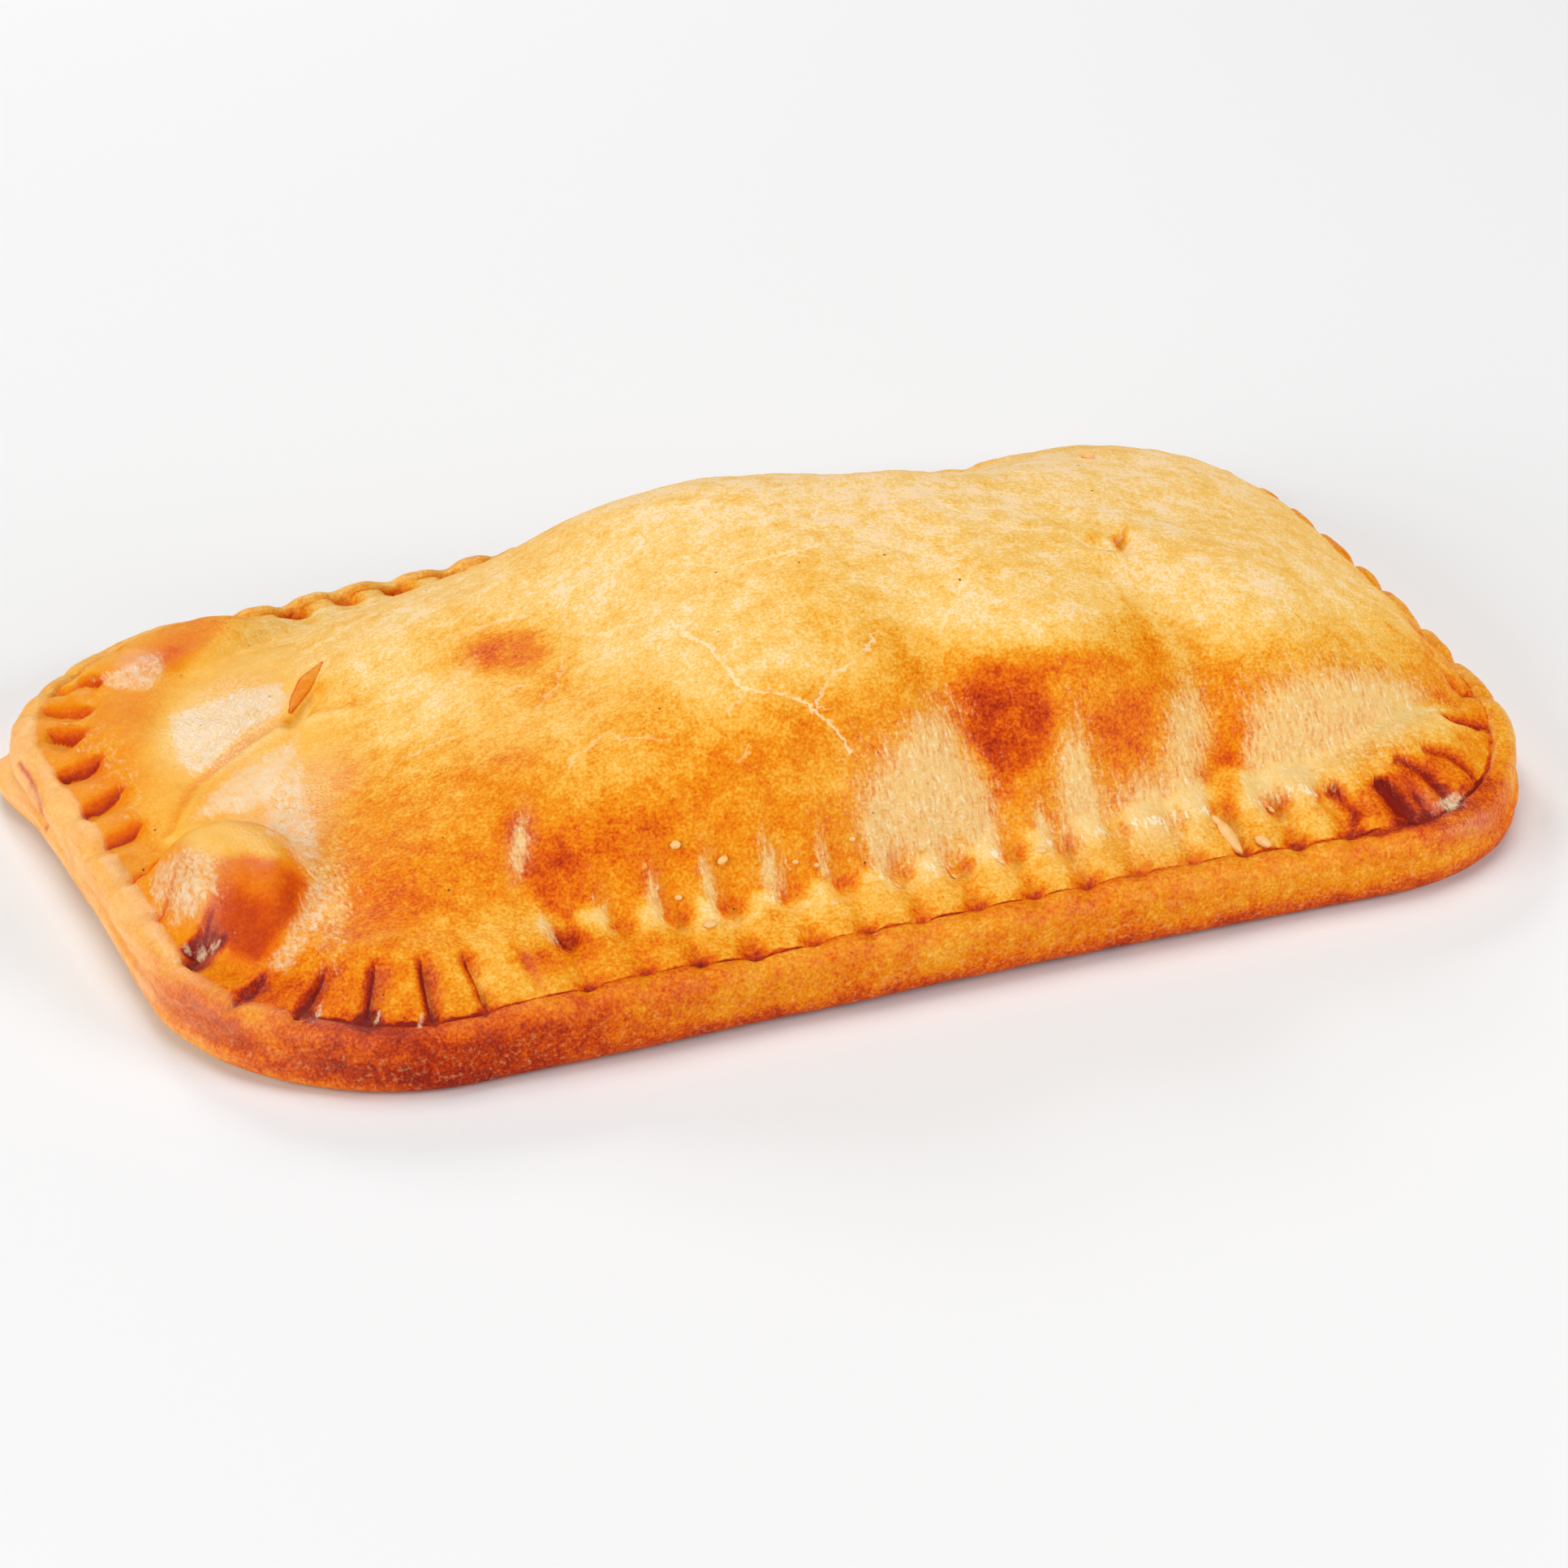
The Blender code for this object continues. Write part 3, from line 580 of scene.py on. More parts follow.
def top_height(plan_x, plan_y):
    """Height of the crust's upper surface over a point of the even outline."""
    d = inset_of(plan_x, plan_y)
    x, y = in_plan(plan_x, plan_y)
    rim = bead_height(x, y, d) + band_climb(x, y, d)
    blend = FOOT_BLEND + (LEFT_FOOT_BLEND - FOOT_BLEND) * smooth_step(-40, -65, x) * smooth_step(4.0, 13.0, d)
    height = smooth_max(rim, RIM_HEIGHT - 0.8 + dome(x, y), blend) - blend / 8
    for *place, lift in RIM_BLISTERS.values():
        mound = (lift + 1.2) * blister(x, y, *place) * smooth_step(2.4, 6.5, d)
        height = smooth_max(height, rim - 1.2 + mound, 0.9) - 0.05
    *place, depth = BLISTER_HOLLOW
    height = smooth_max(height - depth * swelling(x, y, *place), np.minimum(height, rim), 0.4) - 0.2
    pressed = crimps(plan_x, plan_y, d)[0] + slots(x, y)[0]
    return height + score_line(x, y, d) - pressed + vent(x, y) + slit(x, y)


bead_line = anchor[:, :2] + anchor[:, 2:] * (CORNER_RADIUS - BEAD_WIDTH)
on_top = level > 1.5
top = np.where(on_top, top_height(even[:, 0], even[:, 1]), 0.0)
bead_top = top_height(bead_line[:, 0], bead_line[:, 1])
base = underside_height(even[:, 0], even[:, 1], inset)
height = np.where(on_top, top, (bead_top + base) / 2 + level * (bead_top - base) / 2)
lip = lip_reach(even[:, 0], even[:, 1]) * smooth_step(0.02, -0.28, level) * (inset < BEAD_WIDTH + 0.1)
pressed_in = layer_line(even[:, 0], even[:, 1], level) * (~in_core)
outline = even + anchor[:, 2:] * (lip - pressed_in)[:, None]
body = np.column_stack([*in_plan(outline[:, 0], outline[:, 1]), height])
body -= (*SOLID_MIDDLE, body[:, 2].min())
crust.data.vertices.foreach_set("co", (body * MM).ravel())
crust.data.update()
print("crust box mm", body.min(axis=0).round(2), body.max(axis=0).round(2))

# %% [markdown]
# ## Places from the picture
#
# A mark that the picture shows is found on the crust by looking along the camera's line through it. Marks are
# read off the picture, in pixels, and there are four kinds of rows for them. A line is a few of its
# points. A patch is its middle, half width, half height, turn in degrees and amount. A stroke is an amount, a
# half width and some points. An area is an amount, the softness of its edge and its outline. Each vertex then
# learns how far it is from the lines and how deep it lies in the others.

# %% Finding a place on the crust
MM_PER_PIXEL = 0.0887
PATCH_REACH = 6.0
STROKE_REACH = 25.0
AREA_REACH = 2.2

faces = [tuple(face.vertices) for face in crust.data.polygons]
crust_tree = BVHTree.FromPolygons([tuple(place) for place in body], faces)
body_normals = np.empty(len(body) * 3)
crust.data.vertices.foreach_get("normal", body_normals)
body_normals = body_normals.reshape(-1, 3)
from_lens = body - np.array(CAMERA_PLACE)
deep = from_lens @ np.array(CAMERA_FORWARD)
seen_across = PICTURE / 2 + FOCAL_PIXELS * (from_lens @ np.array(CAMERA_RIGHT)) / deep
seen_down = PICTURE / 2 - FOCAL_PIXELS * (from_lens @ np.array(CAMERA_UP)) / deep
seen = np.column_stack([seen_across, seen_down])
towards_lens = -np.sum(body_normals * from_lens, axis=1) / np.linalg.norm(from_lens, axis=1)
facing = smooth_step(-0.05, 0.15, towards_lens)


def on_crust(across, down):
    """The place on the crust that the picture shows at these pixels, in millimetres."""
    place = crust_tree.ray_cast(CAMERA_PLACE, sight(across, down))[0]
    return np.array(place)


def from_line(points, places):
    """Signed distance across a line of points, and whether a place lies beside it and not beyond its ends."""
    nearest = np.full(len(places), 1e9)
    across = np.full(len(places), 1e9)
    beside = np.zeros(len(places))
    last = len(points) - 2
    for order, (first, second) in enumerate(zip(points[:-1], points[1:])):
        step = second - first
        share = ((places - first) @ step) / (step @ step)
        inside = ((share >= 0) | (order > 0)) & ((share <= 1) | (order < last))
        gap = places - first - np.clip(share, 0.0, 1.0)[:, None] * step
        distance = np.linalg.norm(gap, axis=1)
        closer = distance < nearest
        side = np.sign(step[0] * gap[:, 1] - step[1] * gap[:, 0])
        across = np.where(closer, side * distance, across)
        beside = np.where(closer, inside, beside)
        nearest = np.where(closer, distance, nearest)
    return across, beside


def painted(patches, crisp=1.25):
    """The sum of some patches."""
    total = np.zeros(len(body))
    for across, down, half_across, half_down, turn, amount in patches:
        away = np.linalg.norm(body - on_crust(across, down), axis=1)
        reach = PATCH_REACH * max(half_across, half_down) * MM_PER_PIXEL
        along, beside = turned(seen_across, seen_down, across, down, half_across, half_down, turn)
        total += amount * smooth_step(1.0, 0.6, away / reach) * np.exp(-((along**2 + beside**2) ** crisp))
    return total * facing


def stroked(strokes):
    """The strongest of some strokes."""
    strongest = np.zeros(len(body))
    for amount, half_width, line in strokes:
        off = np.abs(from_line(np.array(line, dtype=float), seen)[0]) / half_width
        near_by = np.linalg.norm(body - on_crust(*line[len(line) // 2]), axis=1) < STROKE_REACH
        strongest = np.maximum(strongest, amount * np.exp(-(off**3)) * near_by)
    return strongest * facing


def in_area(outline, soft):
    """1 inside an outline, fading over so many pixels at its edge."""
    corners = np.array([*outline, outline[0]], dtype=float)
    inside = np.zeros(len(body), dtype=bool)
    for (x0, y0), (x1, y1) in zip(corners[:-1], corners[1:]):
        between = (y0 > seen_down) != (y1 > seen_down)
        inside ^= between & (seen_across < x0 + (seen_down - y0) * (x1 - x0) / (y1 - y0 + 1e-9))
    away = np.abs(from_line(corners, seen)[0])
    middle = corners[:-1].mean(axis=0)
    reach = np.hypot(*(corners - middle).T).max() * MM_PER_PIXEL * AREA_REACH
    near_by = np.linalg.norm(body - on_crust(*middle), axis=1) < reach
    return smooth_step(-soft, soft, np.where(inside, away, -away)) * facing * near_by


def areas(rows):
    """Each area's amount at each vertex."""
    return np.array([amount * in_area(outline, soft) for amount, soft, outline in rows])


print("steam vent in the picture:", on_crust(1370, 665).round(1))

# %% [markdown]
# ## Cracks in the glaze
#
# Where the top stretched after the egg had dried, the glaze tore along thin white lines, some sharp and some
# hardly seen. Geometry gives each a shallow step, with the sheet on one side a little higher, and the
# material paints the torn edge.

# %% Cracks
# How clear the crack is, and its places in the picture.
CRACKS = [
    (1.0, [(810, 766), (827, 767), (847, 783), (872, 793), (885, 810), (900, 827), (913, 847), (937, 852)]),
    (0.9, [(937, 852), (960, 852), (980, 857), (997, 868), (1017, 885), (1030, 895), (1040, 913),
           (1050, 930)]),
    (0.8, [(1007, 868), (1017, 843), (1030, 827), (1057, 813), (1067, 800), (1077, 787), (1070, 777)]),
    (0.8, [(757, 642), (790, 635), (813, 627), (837, 623), (860, 620), (880, 622)]),
    (0.7, [(793, 640), (797, 657), (802, 668), (787, 678), (773, 688), (753, 697), (737, 705), (723, 717)]),
    (0.6, [(723, 717), (703, 730), (697, 742), (695, 760), (700, 773)]),
    (0.8, [(893, 698), (920, 690), (943, 687), (967, 681), (987, 678), (1003, 673), (1020, 668)]),
    (0.8, [(983, 648), (1007, 652), (1033, 655), (1057, 657), (1080, 665), (1100, 670), (1133, 677),
           (1157, 685)]),
    (0.4, [(1057, 657), (1073, 645), (1087, 638)]),
    (0.5, [(703, 780), (727, 783), (747, 785), (767, 777), (793, 770), (810, 767)]),
    (0.3, [(807, 700), (805, 727), (808, 747), (807, 767)]),
    (0.5, [(697, 947), (707, 930), (727, 918), (743, 903), (750, 900), (767, 910), (793, 908), (827, 913)]),
    (0.5, [(897, 883), (900, 873), (913, 860), (920, 850)]),
    (0.4, [(910, 943), (920, 930), (922, 913)]),
    (0.5, [(560, 888), (570, 875), (587, 867), (610, 857), (630, 848), (647, 843)]),
    (0.4, [(657, 880), (670, 857), (687, 845), (692, 827), (697, 810), (707, 800)]),
    (0.5, [(560, 788), (580, 780), (603, 768), (627, 762), (653, 760)]),
    (0.4, [(467, 950), (490, 938), (512, 932), (540, 920), (565, 909)]),
    (0.4, [(820, 693), (860, 695), (893, 698)]),
    (0.7, [(1150, 614), (1167, 623), (1190, 634), (1216, 646), (1241, 651), (1270, 654), (1301, 657),
           (1321, 660)]),
    (0.7, [(1321, 660), (1336, 670), (1356, 679), (1379, 687)]),
    (0.5, [(1410, 700), (1419, 709), (1436, 711), (1453, 709)]),
    (0.7, [(1467, 704), (1487, 709), (1510, 719), (1530, 724), (1550, 730), (1579, 737), (1596, 753)]),
    (0.7, [(1187, 713), (1183, 726), (1176, 743), (1167, 757), (1159, 777), (1150, 791)]),
    (0.4, [(1356, 631), (1361, 654), (1370, 677)]),
    (0.4, [(1401, 629), (1387, 646), (1379, 663), (1373, 680)]),
]
CRACK_DEPTH = 0.20
CRACK_HALF_WIDTH = 0.5
CRACK_REACH = 2.0

crack_side = np.full(len(body), 9.0)
crack_near = np.zeros(len(body))
relief = np.zeros(len(body))
for clear, line in CRACKS:
    across, beside = from_line([on_crust(*mark) for mark in line], body)
    closer = (np.abs(across) < np.abs(crack_side)) & (beside > 0)
    crack_side = np.where(closer, across, crack_side)
    nearness = smooth_step(CRACK_REACH, 0.6 * CRACK_REACH, np.abs(across))
    crack_near = np.where(closer, clear * nearness, crack_near)
    step = 0.8 * bell(across - 0.9, 0.6) - bell(across, CRACK_HALF_WIDTH)
    relief += CRACK_DEPTH * clear * step * beside
print("cracks:", len(CRACKS), "vertices beside one:", int((crack_near > 0.2).sum()))

# %% [markdown]
# ## Folds
#
# The dome's left lobe was pushed over the flat end of the top sheet and left a crease along its foot. Another
# lies beside the near left blister, one where the brown lump begins, and a fan of them at the near right
# corner. They are drawn like the cracks, but wider: a valley, with a rolled edge standing over it.

# %% Folds
# Depth in millimetres, half width, height of the rolled edge, juice baked in it, and places in the picture.
FOLDS = [
    (0.20, 0.45, 0.00, 0.50, [(20, 937), (30, 952), (41, 972), (48, 995), (56, 1022)]),
    (0.22, 0.8, 0.22, 0.12, [(205, 1030), (215, 1010), (240, 965), (300, 915), (350, 890), (398, 872),
                             (458, 861)]),
    (0.15, 0.7, 0.10, 0.05, [(345, 1044), (364, 1064), (379, 1088), (370, 1118), (348, 1152), (326, 1184)]),
    (0.50, 1.0, 0.00, 0.10, [(1150, 850), (1185, 890), (1225, 930), (1240, 965), (1215, 1020), (1190, 1080)]),
    (0.80, 1.0, 0.20, 0.45, [(1636, 971), (1658, 989), (1669, 998), (1667, 1022)]),
    (1.10, 1.1, 0.30, 0.70, [(1698, 958), (1713, 976), (1729, 998), (1745, 1010)]),
    (0.60, 0.9, 0.20, 0.40, [(1716, 931), (1738, 940), (1760, 956), (1778, 973), (1784, 990)]),
    (0.50, 0.8, 0.20, 0.35, [(1753, 920), (1782, 927), (1804, 942), (1818, 960)]),
    (0.35, 0.6, 0.00, 0.35, [(1656, 1030), (1698, 1027), (1729, 1020), (1756, 1013), (1784, 998),
                             (1804, 991)]),
]

fold_line = np.zeros(len(body))
for depth, half_width, rolled, juice, line in FOLDS:
    across, beside = from_line([on_crust(*mark) for mark in line], body)
    valley = bell(across, half_width) * beside
    edge = bell(across + 2.0 * half_width, 1.2 * half_width) * beside
    relief += rolled * edge - depth * valley
    fold_line = np.maximum(fold_line, juice * valley)
print("vertices in a fold:", int((fold_line > 0.05).sum()))

# %% [markdown]
# ## Uneven crust
#
# No baked crust is smooth: it has broad soft waves, small pimples and a fine grain. Layers of cloud noise,
# each finer and shallower than the one before, lift or lower every vertex a little. They fade out at the
# base, which stays flat.

# %% Waves and grain
WAVES = ((14.0, 0.30), (6.0, 0.14), (2.4, 0.08), (1.1, 0.045))


def clouds(places, size, seed):
    """Soft noise between about -1 and 1, with lumps of the given size in millimetres."""
    shifted = places / size + seed
    return np.array([noise.noise(Vector(place)) for place in shifted]) * 1.6


not_base = smooth_step(0.2, 2.5, body[:, 2])
for order, (size, depth) in enumerate(WAVES):
    relief += depth * clouds(body, size, 17.3 * order + 5.0)
skin = body + body_normals * (relief * not_base)[:, None]
crust.data.vertices.foreach_set("co", (skin * MM).ravel())
crust.data.update()
print("relief mm from", relief.min().round(2), "to", relief.max().round(2))

# %% [markdown]
# ## How brown each place is
#
# Baking colours a crust by how near it is to the heat and how thick the egg lies: the rim, the corners and
# the tops of some lumps are brown, the near face is amber, and the broad top stays pale. Each vertex gets a
# number for it, from a tone for each zone and from marks where the picture shows a darker or a paler place.
# The cut side of the dough at the left end, which the egg missed, stays paler than all of it.

# %% Browning
TOP_TONE = 0.115
NEAR_FACE_MORE = 0.335
OTHER_FACES_MORE = 0.10
LEFT_END_MORE = 0.20
# Painted shade: how much darker the wall gets towards its foot.
WALL_FOOT_SHADE = 0.26
# The tones at the left end, the right end, the near side and the far side.
BAND_TONES = (0.43, 0.42, 0.31, 0.24)
BEAD_TONES = (0.34, 0.39, 0.50, 0.30)
WALL_TONES = (0.36, 0.37, 0.48, 0.42)
# Where the zones begin and end: by distance from the edge, by level in the wall and by the surface's
# direction.
BAND_EDGE = (8.6, 6.4)
BEAD_EDGE = (3.4, 2.8)
WALL_EDGE = (0.75, 0.25)
STEEP_FROM = (0.06, 0.34)
TO_NEAR_FROM = (0.0, -0.35)
# Patches, areas and strokes that are browner than the zone's tone.
BROWNER = [
    (600, 1030, 200, 110, 0, 0.27),
    (470, 1130, 110, 50, 0, 0.18),
    (1050, 760, 150, 46, 25, 0.11),
    (700, 910, 150, 60, -10, 0.13),
    (620, 805, 62, 26, -10, 0.34),
    (610, 792, 96, 40, -10, 0.12),
    (655, 850, 70, 26, -20, 0.14),
    (760, 860, 120, 60, 20, 0.10),
    (1240, 885, 60, 66, 15, 0.20),
    (1300, 815, 95, 20, 0, 0.12),
    (1385, 905, 46, 56, -20, 0.16),
    (1518, 890, 40, 90, 4, 0.06),
    (1508, 956, 20, 34, 0, 0.24),
    (1745, 955, 110, 60, 20, 0.30),
    (1600, 790, 160, 60, 20, -0.06),
    (1150, 590, 420, 60, -2, -0.06),
    (1790, 890, 50, 60, 20, 0.04),
    (230, 785, 75, 24, -24, 0.20),
    (150, 900, 60, 90, 0, 0.14),
    (1347, 664, 14, 8, 0, 0.22),
    (1381, 664, 8, 20, 15, 0.28),
    (450, 1300, 190, 50, 10, 0.30),
    (250, 1262, 90, 26, 34, 0.26),
    (420, 1322, 150, 16, 4, 0.16),
    (235, 1226, 80, 26, 38, 0.16),
    (640, 1290, 120, 26, -10, 0.18),
    (760, 1250, 120, 40, -12, 0.14),
    (450, 1225, 190, 50, 8, 0.20),
    (690, 1175, 60, 24, -20, 0.16),
    (1695, 985, 44, 30, 0, 0.16),
    (700, 1170, 200, 30, 0, 0.16),
    (215, 810, 26, 20, -20, 0.12),
    (230, 900, 60, 40, -30, -0.16),
]
BROWNER_AREAS = [
    (0.25, 9, [(266, 1062), (300, 1050), (345, 1058), (374, 1088), (362, 1122), (340, 1156), (318, 1184),
               (286, 1176), (268, 1150), (260, 1105)]),
    (0.07, 20, [(252, 1120), (300, 1100), (330, 1120), (320, 1165), (285, 1172), (258, 1150)]),
    (0.13, 7, [(1180, 830), (1196, 900), (1226, 952), (1262, 950), (1296, 930), (1300, 880), (1270, 826),
               (1210, 812)]),
    (-0.06, 10, [(205, 1035), (266, 1010), (316, 1026), (358, 1058), (330, 1052), (290, 1046), (240, 1052)]),
]
PALE_STROKES = [
    (0.09, 5, [(208, 1034), (228, 1000), (250, 966), (276, 944), (306, 922), (338, 906), (370, 892),
               (420, 876)]),
]
# Where the crust is baked more evenly, without the blotches.
EVEN_AREAS = [
    (0.65, 40, [(20, 890), (80, 800), (230, 750), (400, 840), (400, 1000), (400, 1110), (350, 1190),
                (230, 1200), (110, 1090)]),
]
# Shares of the pale cut dough on the bead and on the wall, and how evenly it is baked.
CUT_DOUGH_ON_BEAD = 0.48
CUT_DOUGH_ON_WALL = 0.72
CUT_DOUGH_EVENNESS = 0.6

place_x, place_y = body[:, :2].T
band = smooth_step(*BAND_EDGE, inset) * (~in_core)
bead = smooth_step(*BEAD_EDGE, inset) * (~in_core)
wall = smooth_step(*WALL_EDGE, level) * (~on_top)
steep = smooth_step(*STEEP_FROM, 1 - body_normals[:, 2])
to_near = smooth_step(*TO_NEAR_FROM, body_normals[:, 1])
browning = TOP_TONE + steep * (OTHER_FACES_MORE + (NEAR_FACE_MORE - OTHER_FACES_MORE) * to_near)
browning += LEFT_END_MORE * smooth_step(-38, -62, place_x) * (1 - steep * to_near)
for zone, tones in ((band, BAND_TONES), (bead, BEAD_TONES), (wall, WALL_TONES)):
    browning += (by_side(place_x, place_y, *tones) - browning) * zone
# Painted shade, darker towards the wall's foot.
browning += WALL_FOOT_SHADE * smooth_step(0.1, -0.8, level) * wall * smooth_step(-70, -50, place_x)
browning += painted(BROWNER, crisp=1.7)
browning += areas(BROWNER_AREAS).sum(axis=0) - stroked(PALE_STROKES)
at_left_end = smooth_step(-58, -72, place_x) * smooth_step(44, 30, place_y)
off_near_corner = smooth_step(-42, -16, place_y + 0.6 * (place_x + 74))
pale_dough = CUT_DOUGH_ON_BEAD * bead * (1 - wall) + CUT_DOUGH_ON_WALL * wall
pale_dough *= at_left_end * off_near_corner
even_baked = np.maximum(areas(EVEN_AREAS).sum(axis=0), CUT_DOUGH_EVENNESS * pale_dough)
print("browning from", browning.min().round(2), "to", browning.max().round(2))

# %% [markdown]
# ## Juice, dry glaze, gloss and painted light
#
# Juice has baked dark in the press marks and in the pressed line, and painted shade darkens the hollows at
# the dome's foot. On the faces to the right the egg dried to a pale, streaky film; its colour also paints the
# sheen of the light in front on the right, with painted glints, bright painted tips and painted streaks
# beside the near folds. Where the egg lies thick, at the left end, it is as glossy as varnish, with a painted
# highlight in pale colour over it, and hardly so on the top. The slot floors get a painted sheen.

# %% Juice, dry glaze, gloss and painted light
JUICE_LINE_TONES = (0.1, 0.5, 1.0, 0.4)
BASE_GLOSS = 0.04
BEAD_GLOSS = 0.25
JUICE_GLOSS = 0.15
FILM_GLOSS = 0.1
SLOT_FLOOR_GLOSS = 0.4
# The film ends in bright tips, which are painted glints, at this distance from the edge, over this width.
FILM_FOOT = 8.6
FILM_FOOT_WIDTH = 1.1
SLIT_REACH = 3.0
# Patches of dry egg film. Their pale colour also paints the sheen of the light in front on the right.
DRY_FILM_AND_SHEEN = [
    (1120, 1000, 72, 90, -10, 1.0),
    (1195, 990, 40, 70, -20, 0.8),
    (1150, 900, 40, 60, 20, 0.6),
    (1325, 975, 26, 100, 0, 1.0),
    (1420, 1000, 70, 60, 0, 0.9),
    (1460, 895, 30, 70, 0, 0.9),
    (1620, 890, 100, 74, -12, 1.2),
    (1720, 870, 50, 40, 10, 0.8),
    (1570, 960, 40, 40, 0, 0.8),
    (1512, 945, 16, 56, 4, -0.7),
    (640, 1040, 12, 46, 6, 1.0),
    (408, 1110, 30, 80, 0, 0.7),
    (235, 1092, 46, 36, -40, 0.6),
    (960, 1080, 26, 34, 0, 0.5),
]
JUICE_POOLS = [
    (1674, 1024, 14, 7, 0, 0.7),
    (1740, 1012, 20, 8, -15, 0.8),
    (1806, 972, 10, 5, -30, 0.7),
    (1746, 990, 14, 5, 60, 0.5),
]
JUICE_AREAS = [
    (1.0, 5, [(220, 1171), (251, 1140), (277, 1155), (272, 1168), (244, 1193)]),
    (0.8, 5, [(284, 1224), (304, 1214), (330, 1196), (322, 1214), (306, 1236), (296, 1233)]),
    (0.9, 5, [(360, 1250), (376, 1240), (390, 1248), (386, 1258), (368, 1256)]),
    (1.0, 5, [(430, 1262), (444, 1248), (466, 1244), (472, 1262), (452, 1270)]),
    (0.9, 4, [(516, 1258), (528, 1247), (548, 1256), (532, 1262)]),
    (0.8, 4, [(584, 1250), (596, 1238), (616, 1242), (600, 1250)]),
]
# Areas of painted highlight, laid into the colour: the gloss of the lights on the left end, a paler left wall
# and a bright spot at the near right corner.
PAINTED_HIGHLIGHT_AREAS = [
    (0.88, 8, [(206, 878), (240, 868), (300, 846), (346, 840), (354, 860), (346, 878), (300, 902), (262, 942),
              (238, 956), (222, 944), (212, 915)]),
    (0.88, 9, [(232, 1012), (262, 972), (302, 940), (340, 918), (372, 902), (362, 930), (344, 950),
               (330, 985), (300, 1004), (266, 1004)]),
    (0.75, 14, [(345, 945), (372, 930), (378, 965), (392, 1010), (398, 1060), (380, 1080), (362, 1058),
                (318, 1022), (330, 990)]),
    (0.65, 10, [(380, 1085), (404, 1070), (408, 1110), (392, 1150), (352, 1200), (326, 1190), (345, 1160),
                (366, 1122)]),
    (0.66, 12, [(190, 1062), (226, 1046), (262, 1050), (272, 1080), (262, 1112), (238, 1134), (214, 1142),
                (186, 1120), (184, 1085)]),
    (0.65, 8, [(92, 832), (140, 826), (176, 806), (200, 796), (204, 828), (184, 852), (140, 850)]),
    (0.35, 26, [(60, 880), (110, 860), (190, 960), (200, 1050), (170, 1060), (110, 980)]),
    (0.45, 8, [(176, 1112), (200, 1140), (216, 1172), (244, 1198), (226, 1204), (194, 1168)]),
    (0.9, 4, [(1768, 998), (1775, 982), (1798, 974), (1806, 982), (1790, 997)]),
]
# Strokes of painted glints in the slots, and one soft painted highlight on the dome's left.
PAINTED_HIGHLIGHT_STROKES = [
    (1.0, 4, [(240, 1191), (250, 1176), (269, 1160)]),
    (0.8, 4, [(226, 1166), (236, 1177)]),
    (0.8, 5, [(392, 1250), (396, 1238)]),
    (0.9, 3, [(462, 1262), (468, 1246)]),
    (0.9, 4, [(516, 1262), (521, 1252)]),
    (0.4, 16, [(540, 870), (580, 820)]),
]
# The left and the right edge of the knife slit in the picture.
SLIT_EDGES = (
    [(356, 884), (357, 858), (370, 835), (400, 812)],
    [(356, 884), (374, 860), (389, 838), (400, 812)],
)
GLOSSY = [
    (275, 895, 76, 52, -28, 1.0),
    (345, 1000, 70, 60, -40, 0.6),
    (410, 955, 46, 34, -30, 0.3),
    (238, 1090, 52, 44, -40, 0.9),
    (172, 822, 30, 24, -20, 0.9),
    (1790, 1000, 50, 26, 20, 0.9),
    (1370, 1020, 150, 60, 0, 0.3),
    (1120, 1000, 90, 100, 0, 0.25),
    (640, 1040, 20, 56, 6, 0.6),
]

dent, dark, streaks = crimps(even[:, 0], even[:, 1], inset)
slot_place, slot_dark, slot_floor_juice_and_sheen = slots(*in_plan(even[:, 0], even[:, 1]))[1:]
juice_line = on_top * by_side(place_x, place_y, *JUICE_LINE_TONES)
# Darkening: juice in the marks and pools, and painted shade in the hollows at the dome's foot.
darkening = np.clip(dark * on_top + painted(JUICE_POOLS), 0, 1)
darkening = np.maximum(darkening, areas(JUICE_AREAS).max(axis=0))
# The film's share, which also paints a sheen, with painted highlight streaks beside the near folds.
film_and_sheen = np.clip(painted(DRY_FILM_AND_SHEEN) + streaks * on_top, 0, 1) * (1 - darkening)
# Painted glints at the lower tips of the film, near the dome's foot.
at_foot = bell(inset - FILM_FOOT, FILM_FOOT_WIDTH) * smooth_step(-20, -30, place_y)
film_foot_glints = film_and_sheen * at_foot * (1 - 0.5 * darkening)
in_slot = smooth_step(1.2, 0.8, np.abs(slot_place)) * on_top
# Painted highlight: pale colour laid where the lights shine off the thick egg, and painted glints in the
# slots.
painted_highlight = areas(PAINTED_HIGHLIGHT_AREAS).sum(axis=0) * (1 - darkening) * (1 - 0.8 * in_slot * slot_dark)
painted_highlight = np.clip(np.maximum(painted_highlight, stroked(PAINTED_HIGHLIGHT_STROKES)), 0, 1)
gloss = BASE_GLOSS + painted(GLOSSY, crisp=2.5) + BEAD_GLOSS * bead * (1 - wall) + JUICE_GLOSS * darkening
gloss += FILM_GLOSS * film_and_sheen + SLOT_FLOOR_GLOSS * in_slot * slot_floor_juice_and_sheen * (slot_place > 0)
gloss = np.clip(gloss, 0, 1)
slit_left, beside_slit = from_line([on_crust(*mark) for mark in SLIT_EDGES[0]], body)
slit_right = from_line([on_crust(*mark) for mark in SLIT_EDGES[1]], body)[0]
near_slit = (np.abs(slit_left) < SLIT_REACH) & (beside_slit > 0) & (facing > 0)
slit_inside = np.where(near_slit, np.minimum(-slit_left, slit_right), -SLIT_REACH)
print("in the slit:", int((slit_inside > 0).sum()), "vertices")


def give(name, values):
    """Stores one number for each vertex, for the materials to read."""
    layer = crust.data.attributes.new(name, "FLOAT", "POINT")
    layer.data.foreach_set("value", np.asarray(values, dtype=np.float32))


